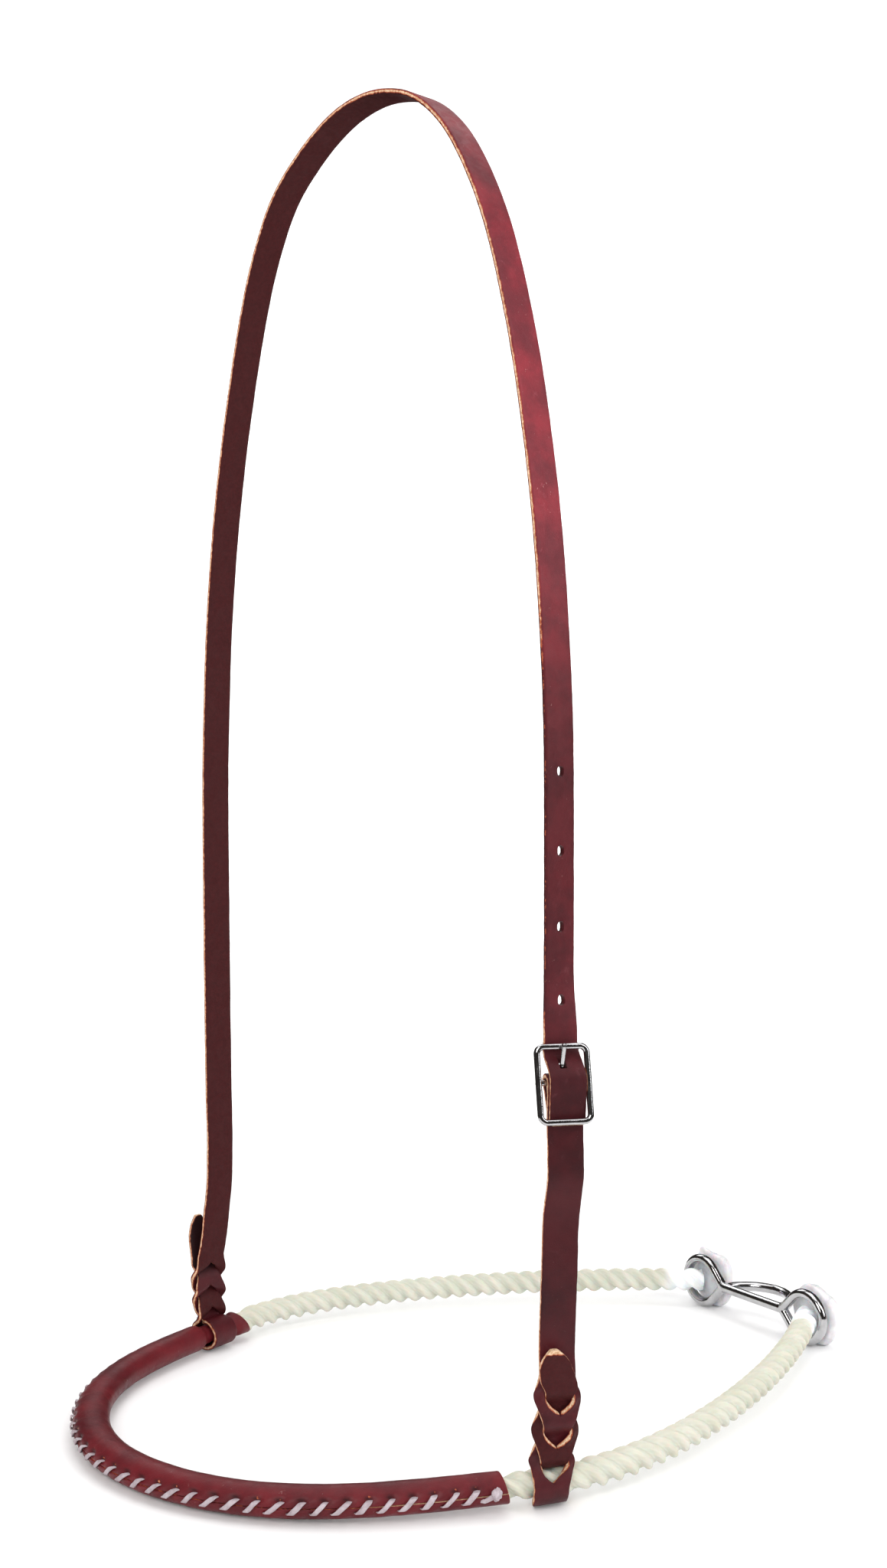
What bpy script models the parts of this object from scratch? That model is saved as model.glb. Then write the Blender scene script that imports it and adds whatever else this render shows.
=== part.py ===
"""Rope noseband with a leather headstall strap.

A laid rope makes the loop that goes round a horse's nose. A laced leather
cover pads it over the nose, a metal connector joins its ends under the jaw,
and a leather strap over the poll holds it up. The strap's two lower ends are
tied round the rope with interlaced slit knots, and a centre-bar buckle on the
near cheek sets its length.

The noseband is drawn flat, with the rope's centre line in the plane z = 0,
+X towards the jaw, -X towards the nose and -Y on the near, buckled side. An
empty then tips it by about a degree, so that it stands on the nose of its
cover and on its two rope stops.
"""

import math

import bmesh
import bpy
import numpy as np
from mathutils import Vector

# Rope
ROPE_RADIUS = 0.00475
ROPE_RADIUS_IN_NEAR_LOOP = 0.00445
ROPE_GAP = 0.0004
ROPE_SIDES = 10
ROPE_STATIONS = 76

# Half of the rope's route, from the middle of the nose to the end under the jaw
ROPE_ROUTE = [
    (-0.1366, 0.0),
    (-0.1341, 0.0194),
    (-0.1272, 0.0379),
    (-0.1164, 0.0543),
    (-0.1026, 0.0677),
    (-0.0868, 0.0779),
    (-0.0702, 0.0858),
    (-0.0542, 0.0920),
    (-0.0396, 0.0971),
    (-0.0258, 0.1010),
    (-0.0116, 0.1030),
    (0.0041, 0.1029),
    (0.0217, 0.1004),
    (0.0408, 0.0957),
    (0.0608, 0.0891),
    (0.0813, 0.0808),
    (0.1014, 0.0714),
    (0.1200, 0.0615),
    (0.1363, 0.0518),
    (0.1494, 0.0430),
    (0.1580, 0.0368),
    (0.1650, 0.0322),
]

# Nose cover: a leather sleeve with its edges laced together on the outer side
COVER_NEAR_END_X = -0.0408
COVER_FAR_END_X = -0.0372
COVER_HALF_HEIGHT = 0.00500
COVER_HALF_WIDTH_AT_NOSE = 0.00660
COVER_HALF_WIDTH_AT_ENDS = 0.00570
COVER_WALL = 0.00120
COVER_SQUEEZE_IN_LOOP = 0.00105
COVER_SEAM_ANGLE = math.radians(1)
COVER_SEAM_WIDTH = 0.0013
COVER_STATIONS = 48
COVER_ARC_POINTS = 9

# Lacing of the cover
LACE_PITCH = 0.00675
LACE_WIDTH = 0.0028
LACE_THICKNESS = 0.0008
LACE_LIFT = 0.0004
LACE_HALF_REACH = 0.0027
LACE_LEAN = -0.0019
LACE_NEAR_MARGIN = 0.0136
LACE_FAR_MARGIN = 0.0285
LACE_RUNNER_WIDTH = 0.0006
LACE_KNOT_SETBACK = 0.0082
LACE_KNOT_RISE = math.radians(13)
LACE_KNOT_RADIUS = 0.0021

# Connector under the jaw
EYE_X = 0.1645
EYE_Y = 0.0315
EYE_MID_RADIUS = 0.00965
EYE_TAPER_REACH = 0.0140
EYE_SECTION = (0.0019, 0.0022)
BAR_SECTION = (0.0021, 0.0021)
BOW_REACH = 0.0165

# Fused stops on the rope's ends
STOP_RADIUS = 0.0122
STOP_FACE_AT_CENTRE = 0.0024
STOP_FACE_SLOPE = 0.15
STOP_DEPTH = 0.0112

# Leather straps
STRAP_HALF_WIDTH = 0.0060
STRAP_THICKNESS = 0.0019
LAYER_PITCH = STRAP_THICKNESS + 0.0004

# Where the strap loops sit on the rope, and how the straps stand above them
NEAR_LOOP_X = -0.0289
FAR_LOOP_X = -0.0514
NEAR_LOOP_BORE = (0.00505, 0.00505)
FAR_LOOP_BORE = (0.0055, 0.0044)
NEAR_LOOP_SKEW = 0.0040
NEAR_KNOT_OFFSET = 0.0024
FAR_KNOT_OFFSET = 0.0025
NEAR_TIP_LEAN = 0.0006
FAR_TIP_LEAN = 0.0045

# Sideways lean of each strap along the rope, as (height, shift) points; the tips stand apart
NEAR_SWAY = [(0.000, 0.0), (0.0055, 0.0013), (0.009, 0.0021), (0.014, 0.0028), (0.022, 0.0037)]
NEAR_SWAY += [(0.031, 0.0041), (0.045, 0.0041), (0.105, 0.0047), (0.130, 0.0042), (0.150, 0.0040)]
NEAR_TIP_SWAY = [(-0.006, 0.0), (-0.002, 0.0012), (0.004, 0.0019), (0.009, 0.0021)] + NEAR_SWAY[3:6]
NEAR_TIP_SWAY += [(0.037, 0.0023), (0.044, 0.0015)]
FAR_SWAY = [(0.002, 0.0), (0.010, -0.0009), (0.018, -0.0019), (0.026, -0.0019), (0.033, -0.0006)]
FAR_SWAY += [(0.040, 0.0014), (0.060, 0.0050), (0.078, 0.0066)]
FAR_TIP_SWAY = [(-0.005, 0.0), (0.002, -0.0003)] + FAR_SWAY[1:4] + [(0.031, -0.0012), (0.045, -0.0010)]

# Interlaced knots: the first slit's lower end above the rope's centre, the slits' pitch and the tip's end
NEAR_KNOT_HEIGHTS = (0.0025, 0.0110, 0.0440)
FAR_KNOT_HEIGHTS = (0.0019, 0.0092, 0.0470)

# Headstall arch: middle between the legs, direction towards the far side, and
# the strap's centre line as (distance from the middle, height) points
ARCH_MIDDLE = (-0.03545, -0.00225)
ARCH_DIRECTION = (-0.09974, 0.99501)
ARCH_NEAR_TOP = [
    (-0.1018, 0.1650),
    (-0.1019, 0.2144),
    (-0.1014, 0.2490),
    (-0.0991, 0.2840),
    (-0.0959, 0.3143),
    (-0.0909, 0.3451),
    (-0.0841, 0.3768),
    (-0.0742, 0.4098),
    (-0.0637, 0.4334),
    (-0.0500, 0.4545),
    (-0.0330, 0.4695),
    (-0.0140, 0.4770),
    (0.0040, 0.4788),
    (0.0220, 0.4755),
    (0.0400, 0.4672),
    (0.0558, 0.4554),
    (0.0694, 0.4343),
    (0.0784, 0.4115),
    (0.0855, 0.3878),
    (0.0916, 0.3636),
    (0.0966, 0.3389),
    (0.1004, 0.3138),
    (0.1031, 0.2884),
    (0.1046, 0.2628),
    (0.1057, 0.2300),
    (0.1052, 0.1856),
    (0.1041, 0.1343),
    (0.1031, 0.0959),
]

# Buckle on the near leg
BUCKLE_HEIGHT = 0.1300
BUCKLE_WIRE = 0.00102
BUCKLE_HALF_WIDTH = 0.0087
BUCKLE_HALF_HEIGHT = 0.0117
BUCKLE_CORNER = 0.0022
BUCKLE_BAR_SETBACK = 0.0016
BUCKLE_PLANE_OFFSET = 0.0086
BUCKLE_COCK = math.radians(4.0)
BUCKLE_SIDE_PLAY = -0.0005
BUCKLE_COCK_REACH = 0.026
FOLD_CLEARANCE = 0.0004
LAYER_TO_FRAME = 0.0007
TONGUE_WIRE = 0.00085
TONGUE_SLOT_HALF_WIDTH = 0.0017
TONGUE_LIFT = math.radians(4)
BILLET_HOLE_HEIGHTS = (0.1561, 0.1798, 0.2043, 0.2300)
BILLET_HOLE_RADIUS = 0.0015
BILLET_HOLE_STRETCH = 0.0003

# How the finished noseband stands
STAND_PITCH = math.atan(0.02313)
STAND_LIFT = 0.00801
STAND_CENTRE = (-0.01936, 0.00365)


def material(name, colour, roughness, metallic=0.0):
    made = bpy.data.materials.new(name)
    made.use_nodes = True
    shader = made.node_tree.nodes["Principled BSDF"]
    shader.inputs["Base Color"].default_value = (*colour, 1.0)
    shader.inputs["Roughness"].default_value = roughness
    shader.inputs["Metallic"].default_value = metallic
    return made


def empty(name, location, parent=None):
    made = bpy.data.objects.new(name, None)
    bpy.context.scene.collection.objects.link(made)
    made.parent = parent
    made.location = location
    return made


def mesh_object(name, points, faces, parent, surface=None, smooth=True):
    """An object whose points are given in the flat noseband frame, hung from a parent empty."""
    shift = Vector((0.0, 0.0, 0.0))
    if parent is not None and parent.parent is not None:
        shift = parent.location
    mesh = bpy.data.meshes.new(name)
    mesh.from_pydata([Vector(p) - shift for p in points], [], faces)
    shape = bmesh.new()
    shape.from_mesh(mesh)
    bmesh.ops.remove_doubles(shape, verts=shape.verts, dist=1e-7)
    bmesh.ops.recalc_face_normals(shape, faces=shape.faces)
    shape.to_mesh(mesh)
    shape.free()
    made = bpy.data.objects.new(name, mesh)
    bpy.context.scene.collection.objects.link(made)
    made.parent = parent
    if surface is not None:
        mesh.materials.append(surface)
    if smooth:
        mesh.shade_smooth()
        mesh.set_sharp_from_angle(angle=math.radians(40))
    return made


def hide_cutter(made):
    made.hide_render = True
    made.display_type = "WIRE"
    return made


def boolean(target, other, operation):
    step = target.modifiers.new(operation.lower(), "BOOLEAN")
    step.operation = operation
    step.solver = "EXACT"
    step.object = hide_cutter(other)


def spline(points, parameters):
    """Catmull-Rom interpolation of rows of numbers, with a row at each whole parameter."""
    points = np.asarray(points, float)
    padded = np.vstack([2 * points[0] - points[1], points, 2 * points[-1] - points[-2]])
    out = []
    for parameter in parameters:
        index = min(int(parameter), len(points) - 2)
        local = parameter - index
        before, start, end, after = padded[index : index + 4]
        out.append(
            0.5
            * (
                2 * start
                + (end - before) * local
                + (2 * before - 5 * start + 4 * end - after) * local**2
                + (3 * start - before - 3 * end + after) * local**3
            )
        )
    return np.array(out)


def resampled(points, step):
    """The spline through the rows, sampled about every step of its length."""
    fine = spline(points, np.linspace(0, len(points) - 1, 40 * len(points)))
    length = np.concatenate([[0], np.cumsum(np.linalg.norm(np.diff(fine, axis=0), axis=1))])
    count = max(2, round(length[-1] / step) + 1)
    wanted = np.linspace(0, length[-1], count)
    return np.stack([np.interp(wanted, length, fine[:, k]) for k in range(fine.shape[1])], axis=1)


def ring_sweep(rings, closed_path=False):
    """Points and faces of a tube through equal closed rings of points, with flat ends."""
    count, sides = len(rings), len(rings[0])
    points = [p for ring in rings for p in ring]
    faces = []
    for i in range(count if closed_path else count - 1):
        here, there = i * sides, (i + 1) % count * sides
        for j in range(sides):
            k = (j + 1) % sides
            faces.append((here + j, here + k, there + k, there + j))
    if not closed_path:
        faces.append(tuple(range(sides))[::-1])
        faces.append(tuple((count - 1) * sides + j for j in range(sides)))
    return points, faces


def tube_rings(path, first_axis, half_sizes, sides, squareness=1.0, closed_path=False):
    """Rings round a path. The first half size lies along first_axis made square to the path."""
    path = np.asarray(path, float)
    if closed_path:
        along = np.roll(path, -1, axis=0) - np.roll(path, 1, axis=0)
    else:
        along = np.gradient(path, axis=0)
    rings = []
    for centre, direction in zip(path, along):
        direction = direction / np.linalg.norm(direction)
        across = np.asarray(first_axis, float)
        across = across - direction * across.dot(direction)
        across = across / np.linalg.norm(across)
        up = np.cross(direction, across)
        ring = []
        for j in range(sides):
            angle = 2 * math.pi * (j + 0.5) / sides
            c, s = math.cos(angle), math.sin(angle)
            bulge = 1 / (abs(c) ** (2 * squareness) + abs(s) ** (2 * squareness)) ** (0.5 / squareness)
            ring.append(centre + bulge * (half_sizes[0] * c * across + half_sizes[1] * s * up))
        rings.append(ring)
    return rings


def rope_line():
    """The rope's centre line from the near end round the nose to the far end, as fine points."""
    half = np.array(ROPE_ROUTE)
    near = half[::-1] * (1, -1)
    route = np.vstack([near, half[1:]])
    fine = spline(route, np.linspace(0, len(route) - 1, 40 * len(route)))
    length = np.concatenate([[0], np.cumsum(np.linalg.norm(np.diff(fine, axis=0), axis=1))])
    return fine, length


ROPE_LINE, ROPE_LENGTHS = rope_line()
ROPE_LENGTH = ROPE_LENGTHS[-1]


def rope_point(distance):
    return np.array([np.interp(distance, ROPE_LENGTHS, ROPE_LINE[:, k]) for k in (0, 1)])


def rope_frame(distance):
    """Centre, direction and outward normal of the rope at a distance from its near end."""
    centre = rope_point(distance)
    ahead = rope_point(distance + 0.001) - rope_point(distance - 0.001)
    ahead = ahead / np.linalg.norm(ahead)
    return centre, ahead, np.array([-ahead[1], ahead[0]])


def rope_distance(x, near_side):
    """The distance along the rope at which its near or far run passes a given X."""
    middle = len(ROPE_LINE) // 2
    part = slice(0, middle) if near_side else slice(middle, None)
    return ROPE_LENGTHS[part][np.argmin(abs(ROPE_LINE[part, 0] - x))]


COVER_START = rope_distance(COVER_NEAR_END_X, True)
COVER_END = rope_distance(COVER_FAR_END_X, False)
NEAR_LOOP_AT = rope_distance(NEAR_LOOP_X, True)
FAR_LOOP_AT = rope_distance(FAR_LOOP_X, False)
SQUEEZE_PLACES = {FAR_LOOP_AT + reach for reach in (-0.0122, -0.0100, -0.0078, 0.0078, 0.0100, 0.0122)}


def bump(distance, centre, half_length, fade):
    """1 within half_length of a place on the rope, and 0 past a smooth fade beyond it."""
    beyond = (abs(distance - centre) - half_length) / fade
    return 1 - smooth_step(beyond)


def smooth_step(value):
    value = min(1.0, max(0.0, value))
    return value * value * (3 - 2 * value)


def cover_half_sizes(distance):
    """Outer half width and half height of the cover at a distance along the rope."""
    middle = (COVER_START + COVER_END) / 2
    to_end = abs(distance - middle) / (COVER_END - middle)
    width = COVER_HALF_WIDTH_AT_NOSE
    width += (COVER_HALF_WIDTH_AT_ENDS - COVER_HALF_WIDTH_AT_NOSE) * smooth_step(to_end)
    squeeze = COVER_SQUEEZE_IN_LOOP * bump(distance, FAR_LOOP_AT, 0.008, 0.004)
    return width - squeeze, COVER_HALF_HEIGHT - squeeze


def rope_half_sizes(distance):
    """Half width and half height of the rope, which the cover and the near loop squeeze."""
    inside = cover_half_sizes(min(max(distance, COVER_START), COVER_END))
    squeezed = np.array(inside) - COVER_WALL - ROPE_GAP
    middle = (COVER_START + COVER_END) / 2
    covered = bump(distance, middle, (COVER_END - COVER_START) / 2 + 0.0008, 0.004)
    loop = bump(distance, NEAR_LOOP_AT - 0.0028, 0.0118, 0.003)
    bare = ROPE_RADIUS + (ROPE_RADIUS_IN_NEAR_LOOP - ROPE_RADIUS) * loop
    return bare + (squeezed - bare) * covered


def build_rope(parent, surface):
    stations = set(np.linspace(0, ROPE_LENGTH, ROPE_STATIONS)) | SQUEEZE_PLACES
    loop = NEAR_LOOP_AT - 0.0028
    for edge in (COVER_START, COVER_END, loop - 0.0133, loop + 0.0133):
        stations |= {edge - 0.0045, edge - 0.0009, edge + 0.0009, edge + 0.0045}
    rings = []
    for distance in sorted(stations):
        centre, _, outward = rope_frame(min(max(distance, 0.001), ROPE_LENGTH - 0.001))
        centre = rope_point(distance)
        half_width, half_height = rope_half_sizes(distance)
        ring = []
        for j in range(ROPE_SIDES):
            angle = 2 * math.pi * (j + 0.5) / ROPE_SIDES
            flat = centre + outward * half_width * math.cos(angle)
            ring.append((flat[0], flat[1], half_height * math.sin(angle)))
        rings.append(ring)
    return mesh_object("rope", *ring_sweep(rings), parent, surface)


def cover_point(distance, angle, inset=0.0):
    """A point on the cover's section. Angle 0 faces away from the nose, and 90 degrees is up."""
    centre, _, outward = rope_frame(distance)
    outward = -outward if outward.dot(centre) < 0 else outward
    half_width, half_height = cover_half_sizes(distance)
    flat = centre + outward * (half_width - inset) * math.cos(angle)
    return np.array([flat[0], flat[1], (half_height - inset) * math.sin(angle)])


def cover_places():
    """Distances along the rope of the cover's sections, closer together at the far loop."""
    return sorted(set(np.linspace(COVER_START, COVER_END, COVER_STATIONS)) | SQUEEZE_PLACES)


def build_cover(parent, surface):
    half_slot = COVER_SEAM_WIDTH / 2 / COVER_HALF_WIDTH_AT_ENDS
    first = COVER_SEAM_ANGLE + half_slot
    last = COVER_SEAM_ANGLE + 2 * math.pi - half_slot
    angles = np.linspace(first, last, 2 * COVER_ARC_POINTS)
    sections = []
    for distance in cover_places():
        outer = [cover_point(distance, a) for a in angles]
        inner = [cover_point(distance, a, COVER_WALL) for a in angles]
        sections.append(outer + inner[::-1])
    return mesh_object("nose_cover", *channel_sweep(sections), parent, surface)


def channel_sweep(sections):
    """A sweep of an open channel's section: its outer points, then its inner points in reverse."""
    count, size = len(sections), len(sections[0])
    half = size // 2
    points = [p for section in sections for p in section]
    faces = []
    for i in range(count - 1):
        for j in range(size):
            k = (j + 1) % size
            here, there = i * size, (i + 1) * size
            faces.append((here + j, here + k, there + k, there + j))
    for base in (0, (count - 1) * size):
        for j in range(half - 1):
            faces.append((base + j, base + j + 1, base + size - 2 - j, base + size - 1 - j))
    return points, faces


def lace_places():
    """Distances along the rope of the lace's visible stitches."""
    first = COVER_START + LACE_NEAR_MARGIN
    last = COVER_END - LACE_FAR_MARGIN
    return np.linspace(first, last, round((last - first) / LACE_PITCH) + 1)


def lace_section(distance, angle, lift):
    """A lace point over the cover, and the direction out of the leather there."""
    low = cover_point(distance, angle)
    high = cover_point(distance, angle, -0.001)
    out = (high - low) / np.linalg.norm(high - low)
    return low + out * lift, out


def build_stitches(parent):
    """Each stitch is a short strap that crosses the seam at a slant."""
    points, faces = [], []
    for place in lace_places():
        rings = []
        for share in (-1.0, -0.35, 0.35, 1.0):
            half_width, _ = cover_half_sizes(place)
            angle = COVER_SEAM_ANGLE + share * LACE_HALF_REACH / half_width
            distance = place + share * LACE_LEAN
            _, ahead, _ = rope_frame(distance)
            width = np.array([ahead[0], ahead[1], 0.0]) * LACE_WIDTH / 2
            low, _ = lace_section(distance, angle, LACE_LIFT)
            high, _ = lace_section(distance, angle, LACE_LIFT + LACE_THICKNESS)
            rings.append([low - width, low + width, high + width, high - width])
        new_points, new_faces = ring_sweep(rings)
        faces += [tuple(len(points) + k for k in face) for face in new_faces]
        points += new_points
    return mesh_object("stitches", points, faces, parent)


def build_lace(parent, surface):
    """The lace: a runner down the seam that joins its slanted stitches, and the knot at its near end."""
    places = lace_places()
    start, end = places[0] - LACE_KNOT_SETBACK - 0.001, places[-1] + 0.003
    after_knot = [start + 0.0022, start + 0.0036]
    rings = []
    for distance in [start] + after_knot + [place for place in cover_places() if after_knot[1] < place < end] + [end]:
        half_width, _ = cover_half_sizes(distance)
        spread = LACE_RUNNER_WIDTH / 2 / half_width
        top = 0.0006 if distance > after_knot[0] else 0.0019
        ring = []
        for side, lift in ((-1, -0.0008), (1, -0.0008), (1, top), (-1, top)):
            point, _ = lace_section(distance, COVER_SEAM_ANGLE + side * spread, lift)
            ring.append(point)
        rings.append(ring)
    lace = mesh_object("cover_lace", *ring_sweep(rings), parent, surface, smooth=False)
    boolean(lace, build_stitches(parent), "UNION")
    place = places[0] - LACE_KNOT_SETBACK
    centre, _ = lace_section(place, COVER_SEAM_ANGLE + LACE_KNOT_RISE, LACE_KNOT_RADIUS * 1.1 + 0.0003)
    boolean(lace, lump("lace_knot", centre, LACE_KNOT_RADIUS, parent), "UNION")
    return lace


def lump(name, centre, radius, parent):
    """A small round knot."""
    shape = bmesh.new()
    bmesh.ops.create_icosphere(shape, subdivisions=2, radius=radius)
    points = [np.array(v.co) * (1.15, 1.15, 0.95) + centre for v in shape.verts]
    shape.verts.index_update()
    faces = [tuple(v.index for v in f.verts) for f in shape.faces]
    shape.free()
    return mesh_object(name, points, faces, parent)


def eye_path():
    """The centre line of the far eye: a circle drawn out to a point towards the middle bars."""
    turn = math.acos(EYE_MID_RADIUS / EYE_TAPER_REACH)
    path = []
    for angle in np.linspace(turn, 2 * math.pi - turn, 19):
        path.append((EYE_X, EYE_Y - EYE_MID_RADIUS * math.cos(angle), EYE_MID_RADIUS * math.sin(angle)))
    point = (EYE_X, EYE_Y - EYE_TAPER_REACH + 0.0007, 0.0)
    start, end = np.array(path[0]), np.array(path[-1])
    for share in (0.4, 0.75):
        path.append(tuple(end + share * (np.array(point) - end)))
    path.append(point)
    for share in (0.75, 0.4):
        path.append(tuple(start + share * (np.array(point) - start)))
    return np.array(path)


def build_connector(parent, surface):
    """Two eyes in one plane, a straight bar between them and a bowed bar that makes the slot."""
    far = eye_path()
    near = far * (1, -1, 1)
    rings = tube_rings(far, (1, 0, 0), EYE_SECTION[::-1], 8, 1.5, closed_path=True)
    connector = mesh_object("connector", *ring_sweep(rings, True), parent, surface)
    rings = tube_rings(near, (1, 0, 0), EYE_SECTION[::-1], 8, 1.5, closed_path=True)
    boolean(connector, mesh_object("near_eye", *ring_sweep(rings, True), parent), "UNION")
    end = EYE_Y - EYE_TAPER_REACH - 0.0005
    straight = [(EYE_X - 0.0002, y, 0.0) for y in np.linspace(-end, end, 7)]
    rings = tube_rings(straight, (1, 0, 0), BAR_SECTION, 8, 1.5)
    boolean(connector, mesh_object("straight_bar", *ring_sweep(rings), parent), "UNION")
    half = [(0.0003, end), (0.0024, end - 0.0005), (0.0045, end - 0.0012), (0.0070, end - 0.0024)]
    half += [(0.0095, end - 0.0040), (0.0118, end - 0.0059), (0.0136, end - 0.0080)]
    half += [(0.0150, end - 0.0104), (0.0160, end - 0.0130), (BOW_REACH, 0.0020)]
    bow = [(EYE_X + x, y, 0.0) for x, y in half + [(x, -y) for x, y in half[::-1]]]
    rings = tube_rings(bow, (0, 0, 1), BAR_SECTION, 8, 1.5)
    boolean(connector, mesh_object("bowed_bar", *ring_sweep(rings), parent), "UNION")
    return connector


def build_stop(name, side, parent, surface):
    """The fused end of the rope: a lumpy mushroom whose face lies behind the eye."""
    sides = 20
    base = EYE_X
    profile = [
        (STOP_FACE_AT_CENTRE, 0.0),
        (STOP_FACE_AT_CENTRE + STOP_FACE_SLOPE * 0.006, 0.0060),
        (STOP_FACE_AT_CENTRE + STOP_FACE_SLOPE * 0.0112, 0.0112),
        (0.0058, STOP_RADIUS),
        (0.0080, STOP_RADIUS * 0.96),
        (0.0098, STOP_RADIUS * 0.78),
        (0.0108, STOP_RADIUS * 0.45),
        (STOP_DEPTH, 0.0),
    ]
    points, faces = [], []
    for depth, radius in profile[1:-1]:
        for j in range(sides):
            angle = 2 * math.pi * j / sides
            lumps = 1 + 0.045 * math.sin(3 * angle + 0.8 * side) + 0.03 * math.cos(5 * angle + side)
            lumps = lumps if radius > 0.007 else 1.0
            points.append(
                (base + depth, side * EYE_Y + radius * lumps * math.cos(angle), radius * lumps * math.sin(angle))
            )
    rows = len(profile) - 2
    front, back = len(points), len(points) + 1
    points.append((base + profile[0][0], side * EYE_Y, 0.0))
    points.append((base + profile[-1][0], side * EYE_Y, 0.0))
    for i in range(rows - 1):
        for j in range(sides):
            k = (j + 1) % sides
            faces.append((i * sides + j, i * sides + k, (i + 1) * sides + k, (i + 1) * sides + j))
    for j in range(sides):
        k = (j + 1) % sides
        faces.append((front, k, j))
        faces.append((back, (rows - 1) * sides + j, (rows - 1) * sides + k))
    return mesh_object(name, points, faces, parent, surface)


def strap_solid(rows, thickness):
    """A leather strap from rows of six points: the left half's outer edge, middle and inner edge,
    then the right half's inner edge, middle and outer edge. Where the two inner edges meet the
    strap is whole, and where they part it is slit."""
    rows = np.asarray(rows, float)
    along = np.gradient(rows, axis=0)
    whole = np.linalg.norm(rows[:, 2] - rows[:, 3], axis=1) < 1e-6
    normals = np.zeros_like(rows)
    for columns in ((0, 1, 2), (3, 4, 5)):
        across = rows[:, columns[2]] - rows[:, columns[0]]
        for k in columns:
            normal = np.cross(across, along[:, k])
            normals[:, k] = normal / np.linalg.norm(normal, axis=1)[:, None]
    middle = normals[:, 2] + normals[:, 3]
    middle = middle / np.linalg.norm(middle, axis=1)[:, None]
    normals[whole, 2] = middle[whole]
    normals[whole, 3] = middle[whole]
    points, faces, index = [], [], []
    for row, normal, solid in zip(rows, normals, whole):
        columns = []
        for k in range(6):
            if k == 3 and solid:
                columns.append(columns[2])
                continue
            points.append(row[k] + normal[k] * thickness / 2)
            points.append(row[k] - normal[k] * thickness / 2)
            columns.append((len(points) - 2, len(points) - 1))
        index.append(columns)
    for i in range(len(rows) - 1):
        here, there = index[i], index[i + 1]
        for j in (0, 1, 3, 4):
            for side in (0, 1):
                faces.append((here[j][side], here[j + 1][side], there[j + 1][side], there[j][side]))
        edges = [0, 5]
        if not (whole[i] and whole[i + 1]):
            edges += [2, 3]
        for j in edges:
            faces.append((here[j][0], there[j][0], there[j][1], here[j][1]))
    for ends in (index[0], index[-1]):
        for j in (0, 1, 3, 4):
            faces.append((ends[j][0], ends[j + 1][0], ends[j + 1][1], ends[j][1]))
    return points, faces


def slit_section(share):
    """A slit strap's half as it passes round the other layer: the inner edge's distance from the
    middle and depth, then the outer edge's. It turns on edge beside the layer that it lets through."""
    table = [
        (-0.35, 0.0, 0.00115, 0.0060, 0.00115),
        (-0.15, 0.0, 0.00125, 0.0060, 0.00115),
        (0.00, 0.0, 0.00150, 0.0061, 0.00105),
        (0.10, 0.0014, 0.00200, 0.0064, 0.00070),
        (0.20, 0.0030, 0.00240, 0.0067, 0.00000),
        (0.30, 0.0042, 0.00240, 0.0069, -0.00090),
        (0.40, 0.0049, 0.00200, 0.0069, -0.00180),
        (0.50, 0.0052, 0.00120, 0.0067, -0.00260),
        (0.60, 0.0050, 0.00010, 0.0064, -0.00300),
        (0.70, 0.0042, -0.00120, 0.0063, -0.00290),
        (0.80, 0.0029, -0.00190, 0.0063, -0.00250),
        (0.90, 0.0013, -0.00180, 0.0062, -0.00200),
        (1.00, 0.0, -0.00150, 0.0061, -0.00150),
        (1.20, 0.0, -0.00120, 0.0060, -0.00120),
    ]
    return interpolate_table(table, share)


def passing_section(share):
    """The layer that is drawn through a slit, gathered to fit it, as (half width, depth)."""
    table = [
        (-0.20, 0.0060, -0.00115),
        (0.00, 0.0055, -0.00125),
        (0.10, 0.0048, -0.00125),
        (0.20, 0.0042, -0.00115),
        (0.30, 0.0038, -0.00085),
        (0.40, 0.0036, -0.00030),
        (0.50, 0.0036, 0.00040),
        (0.60, 0.0038, 0.00110),
        (0.70, 0.0043, 0.00155),
        (0.80, 0.0050, 0.00165),
        (0.90, 0.0056, 0.00145),
        (1.00, 0.0059, 0.00125),
        (1.20, 0.0060, 0.00115),
    ]
    return interpolate_table(table, share)


def interpolate_table(table, share):
    table = np.array(table)
    return [float(np.interp(share, table[:, 0], table[:, k])) for k in range(1, table.shape[1])]


def leg_station(height, share, offset, reach=-1.0):
    """A station of a slit strap: inner edge (x, n, z), then outer edge (x, n, z). It keeps at
    least reach away from the rope's axis."""
    gap, inner, outer, outer_edge = slit_section(share)
    inner = max(offset + inner, reach)
    outer_edge = max(offset + outer_edge, reach)
    return (gap, inner, height, outer, outer_edge, height)


def pass_station(height, share, offset):
    half_width, depth = passing_section(share)
    return (0.0, offset + depth, height, half_width, offset + depth, height)


def flat_station(height, depth, half_width=STRAP_HALF_WIDTH, gap=0.0):
    return (gap, depth, height, half_width, depth, height)


def loop_station(bore, angle, half_width=STRAP_HALF_WIDTH):
    """A station of the strap where it wraps the rope. Angle 0 is outward and 90 degrees is up."""
    depth = (bore[0] + STRAP_THICKNESS / 2) * math.cos(angle)
    height = (bore[1] + STRAP_THICKNESS / 2) * math.sin(angle)
    return (0.0, depth, height, half_width, depth, height)


KNOT_SHARES = (1.2, 1.1, 1.0, 0.9, 0.8, 0.7, 0.6, 0.5, 0.4, 0.3, 0.2, 0.1, 0.0)


def slit_heights(heights):
    first, pitch, _ = heights
    return first, first + pitch, first + 2 * pitch, pitch


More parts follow.
